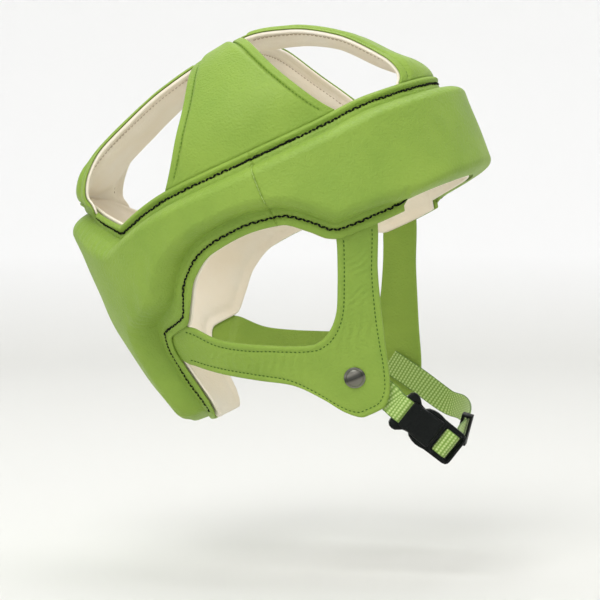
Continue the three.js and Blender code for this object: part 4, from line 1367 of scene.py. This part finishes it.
def woven():
    """Webbing: greens mixed by the height of the weave, as painted shade between the knots and a painted
    highlight on them, with a fuzz of fine fibres.
    """
    material, tree, shader = new_material("green_webbing")
    weave = tree.nodes.new("ShaderNodeAttribute")
    weave.attribute_name = "weave"
    place = tree.nodes.new("ShaderNodeTexCoord").outputs["UV"]
    fuzz = node(tree, "ShaderNodeTexNoise", Scale=1600.0, Detail=3.0)
    tree.links.new(place, fuzz.inputs["Vector"])
    tree.links.new(colour_ramp(tree, weave.outputs["Fac"], WEAVE_SHADE_AND_HIGHLIGHT), shader.inputs["Base Color"])
    shader.inputs["Roughness"].default_value = 0.7
    shader.inputs["Sheen Weight"].default_value = 0.2
    bump(tree, [(fuzz.outputs["Fac"], 0.4, 0.0002)], shader)
    return material


finish["webbing"] = woven()
print("tones of the weave:", len(WEAVE_SHADE_AND_HIGHLIGHT))

# %% [markdown]
# ## Plastic, thread and metal
# The plastic is a satin black with a faint grain, and thread has the same recipe with finer fibres. The
# caps are dull metal, which mirrors a dark band across its middle. A plain backdrop has nothing dark to
# mirror, so a ramp on the UV map gives that band.

# %% Plastic, thread and metal
# painted reflection on the caps: a dark band across the middle of the UV map, paler on either side
PAINTED_REFLECTION_TONES = [
    (0.1, (0.22, 0.22, 0.18, 1)), (0.38, (0.2, 0.19, 0.16, 1)), (0.5, (0.06, 0.06, 0.055, 1)),
    (0.62, (0.09, 0.09, 0.08, 1)), (0.74, (0.25, 0.24, 0.21, 1)), (0.9, (0.16, 0.16, 0.14, 1)),
]
THREAD_TONES = {  # darker and lighter fibres, and roughness
    "black_thread": ((0.002, 0.003, 0.002, 1), (0.006, 0.008, 0.006, 1), 0.7),
    "green_thread": ((0.045, 0.11, 0.015, 1), (0.075, 0.17, 0.025, 1), 0.6),
    "tonal_thread": ((0.12, 0.22, 0.028, 1), (0.18, 0.32, 0.042, 1), 0.6),
    "pale_thread": ((0.37, 0.5, 0.16, 1), (0.53, 0.7, 0.24, 1), 0.6),
    "cream_thread": ((0.53, 0.44, 0.34, 1), (0.71, 0.6, 0.46, 1), 0.7),
}
PLASTIC_GRAIN, FIBRE = 900.0, 1500.0  # scales of the fine noise


def speckled(name, dark, light, scale, roughness):
    """Moulded plastic or thread: fine noise in colour and bump."""
    material, tree, shader = new_material(name)
    place = tree.nodes.new("ShaderNodeTexCoord").outputs["Object"]
    fine = node(tree, "ShaderNodeTexNoise", Scale=scale, Detail=3.0)
    tree.links.new(place, fine.inputs["Vector"])
    tree.links.new(colour_ramp(tree, fine.outputs["Fac"], [(0.35, dark), (0.65, light)]),
                   shader.inputs["Base Color"])
    shader.inputs["Roughness"].default_value = roughness
    shader.inputs["Specular IOR Level"].default_value = 0.14
    bump(tree, [(fine.outputs["Fac"], 0.12, 0.0002)], shader)
    return material


def gunmetal():
    """Dull metal of a domed cap with a painted reflection: darker in a band across its middle."""
    material, tree, shader = new_material("gunmetal")
    place = tree.nodes.new("ShaderNodeSeparateXYZ")
    tree.links.new(tree.nodes.new("ShaderNodeTexCoord").outputs["UV"], place.inputs["Vector"])
    tree.links.new(colour_ramp(tree, place.outputs["Y"], PAINTED_REFLECTION_TONES), shader.inputs["Base Color"])
    shader.inputs["Roughness"].default_value = 0.4
    shader.inputs["Metallic"].default_value = 1
    return material


finish["metal"] = gunmetal()
finish["plastic"] = speckled("black_plastic", (0.003, 0.004, 0.004, 1), (0.006, 0.008, 0.007, 1),
                             PLASTIC_GRAIN, 0.38)
for name, (dark, light, roughness) in THREAD_TONES.items():
    finish[name] = speckled(name, dark, light, FIBRE, roughness)
for name, finish_name in made.items():
    bpy.data.objects[name].data.materials.append(finish[finish_name])
print("finished pieces:", len(made))

# %% [markdown]
# ## Finish of the floor
# The floor is a matt pale grey, and turns to white where the wall begins to rise. Two materials would
# meet in a line, so one ramp on the height does both.

# %% Finish of the floor
RAMP_HEIGHT, FLOOR_TONE, WALL_TONE = 0.12, (0.76, 0.76, 0.73, 1), (0.92, 0.92, 0.92, 1)
pale, tree, shader = new_material("pale_floor")
place = tree.nodes.new("ShaderNodeSeparateXYZ")
tree.links.new(tree.nodes.new("ShaderNodeTexCoord").outputs["Object"], place.inputs["Vector"])
level = node(tree, "ShaderNodeMapRange", From_Min=FLOOR, From_Max=FLOOR + RAMP_HEIGHT)
tree.links.new(place.outputs["Z"], level.inputs["Value"])
tone = colour_ramp(tree, level.outputs["Result"], [(0.0, FLOOR_TONE), (1.0, WALL_TONE)])
tree.links.new(tone, shader.inputs["Base Color"])
shader.inputs["Roughness"].default_value = 0.9
floor.data.materials.append(pale)
print("floor at", FLOOR, "metres")

# %% [markdown]
# ## The end
# The number of finished pieces is printed.

# %% The end
print("boxes written; pieces:", len(made))
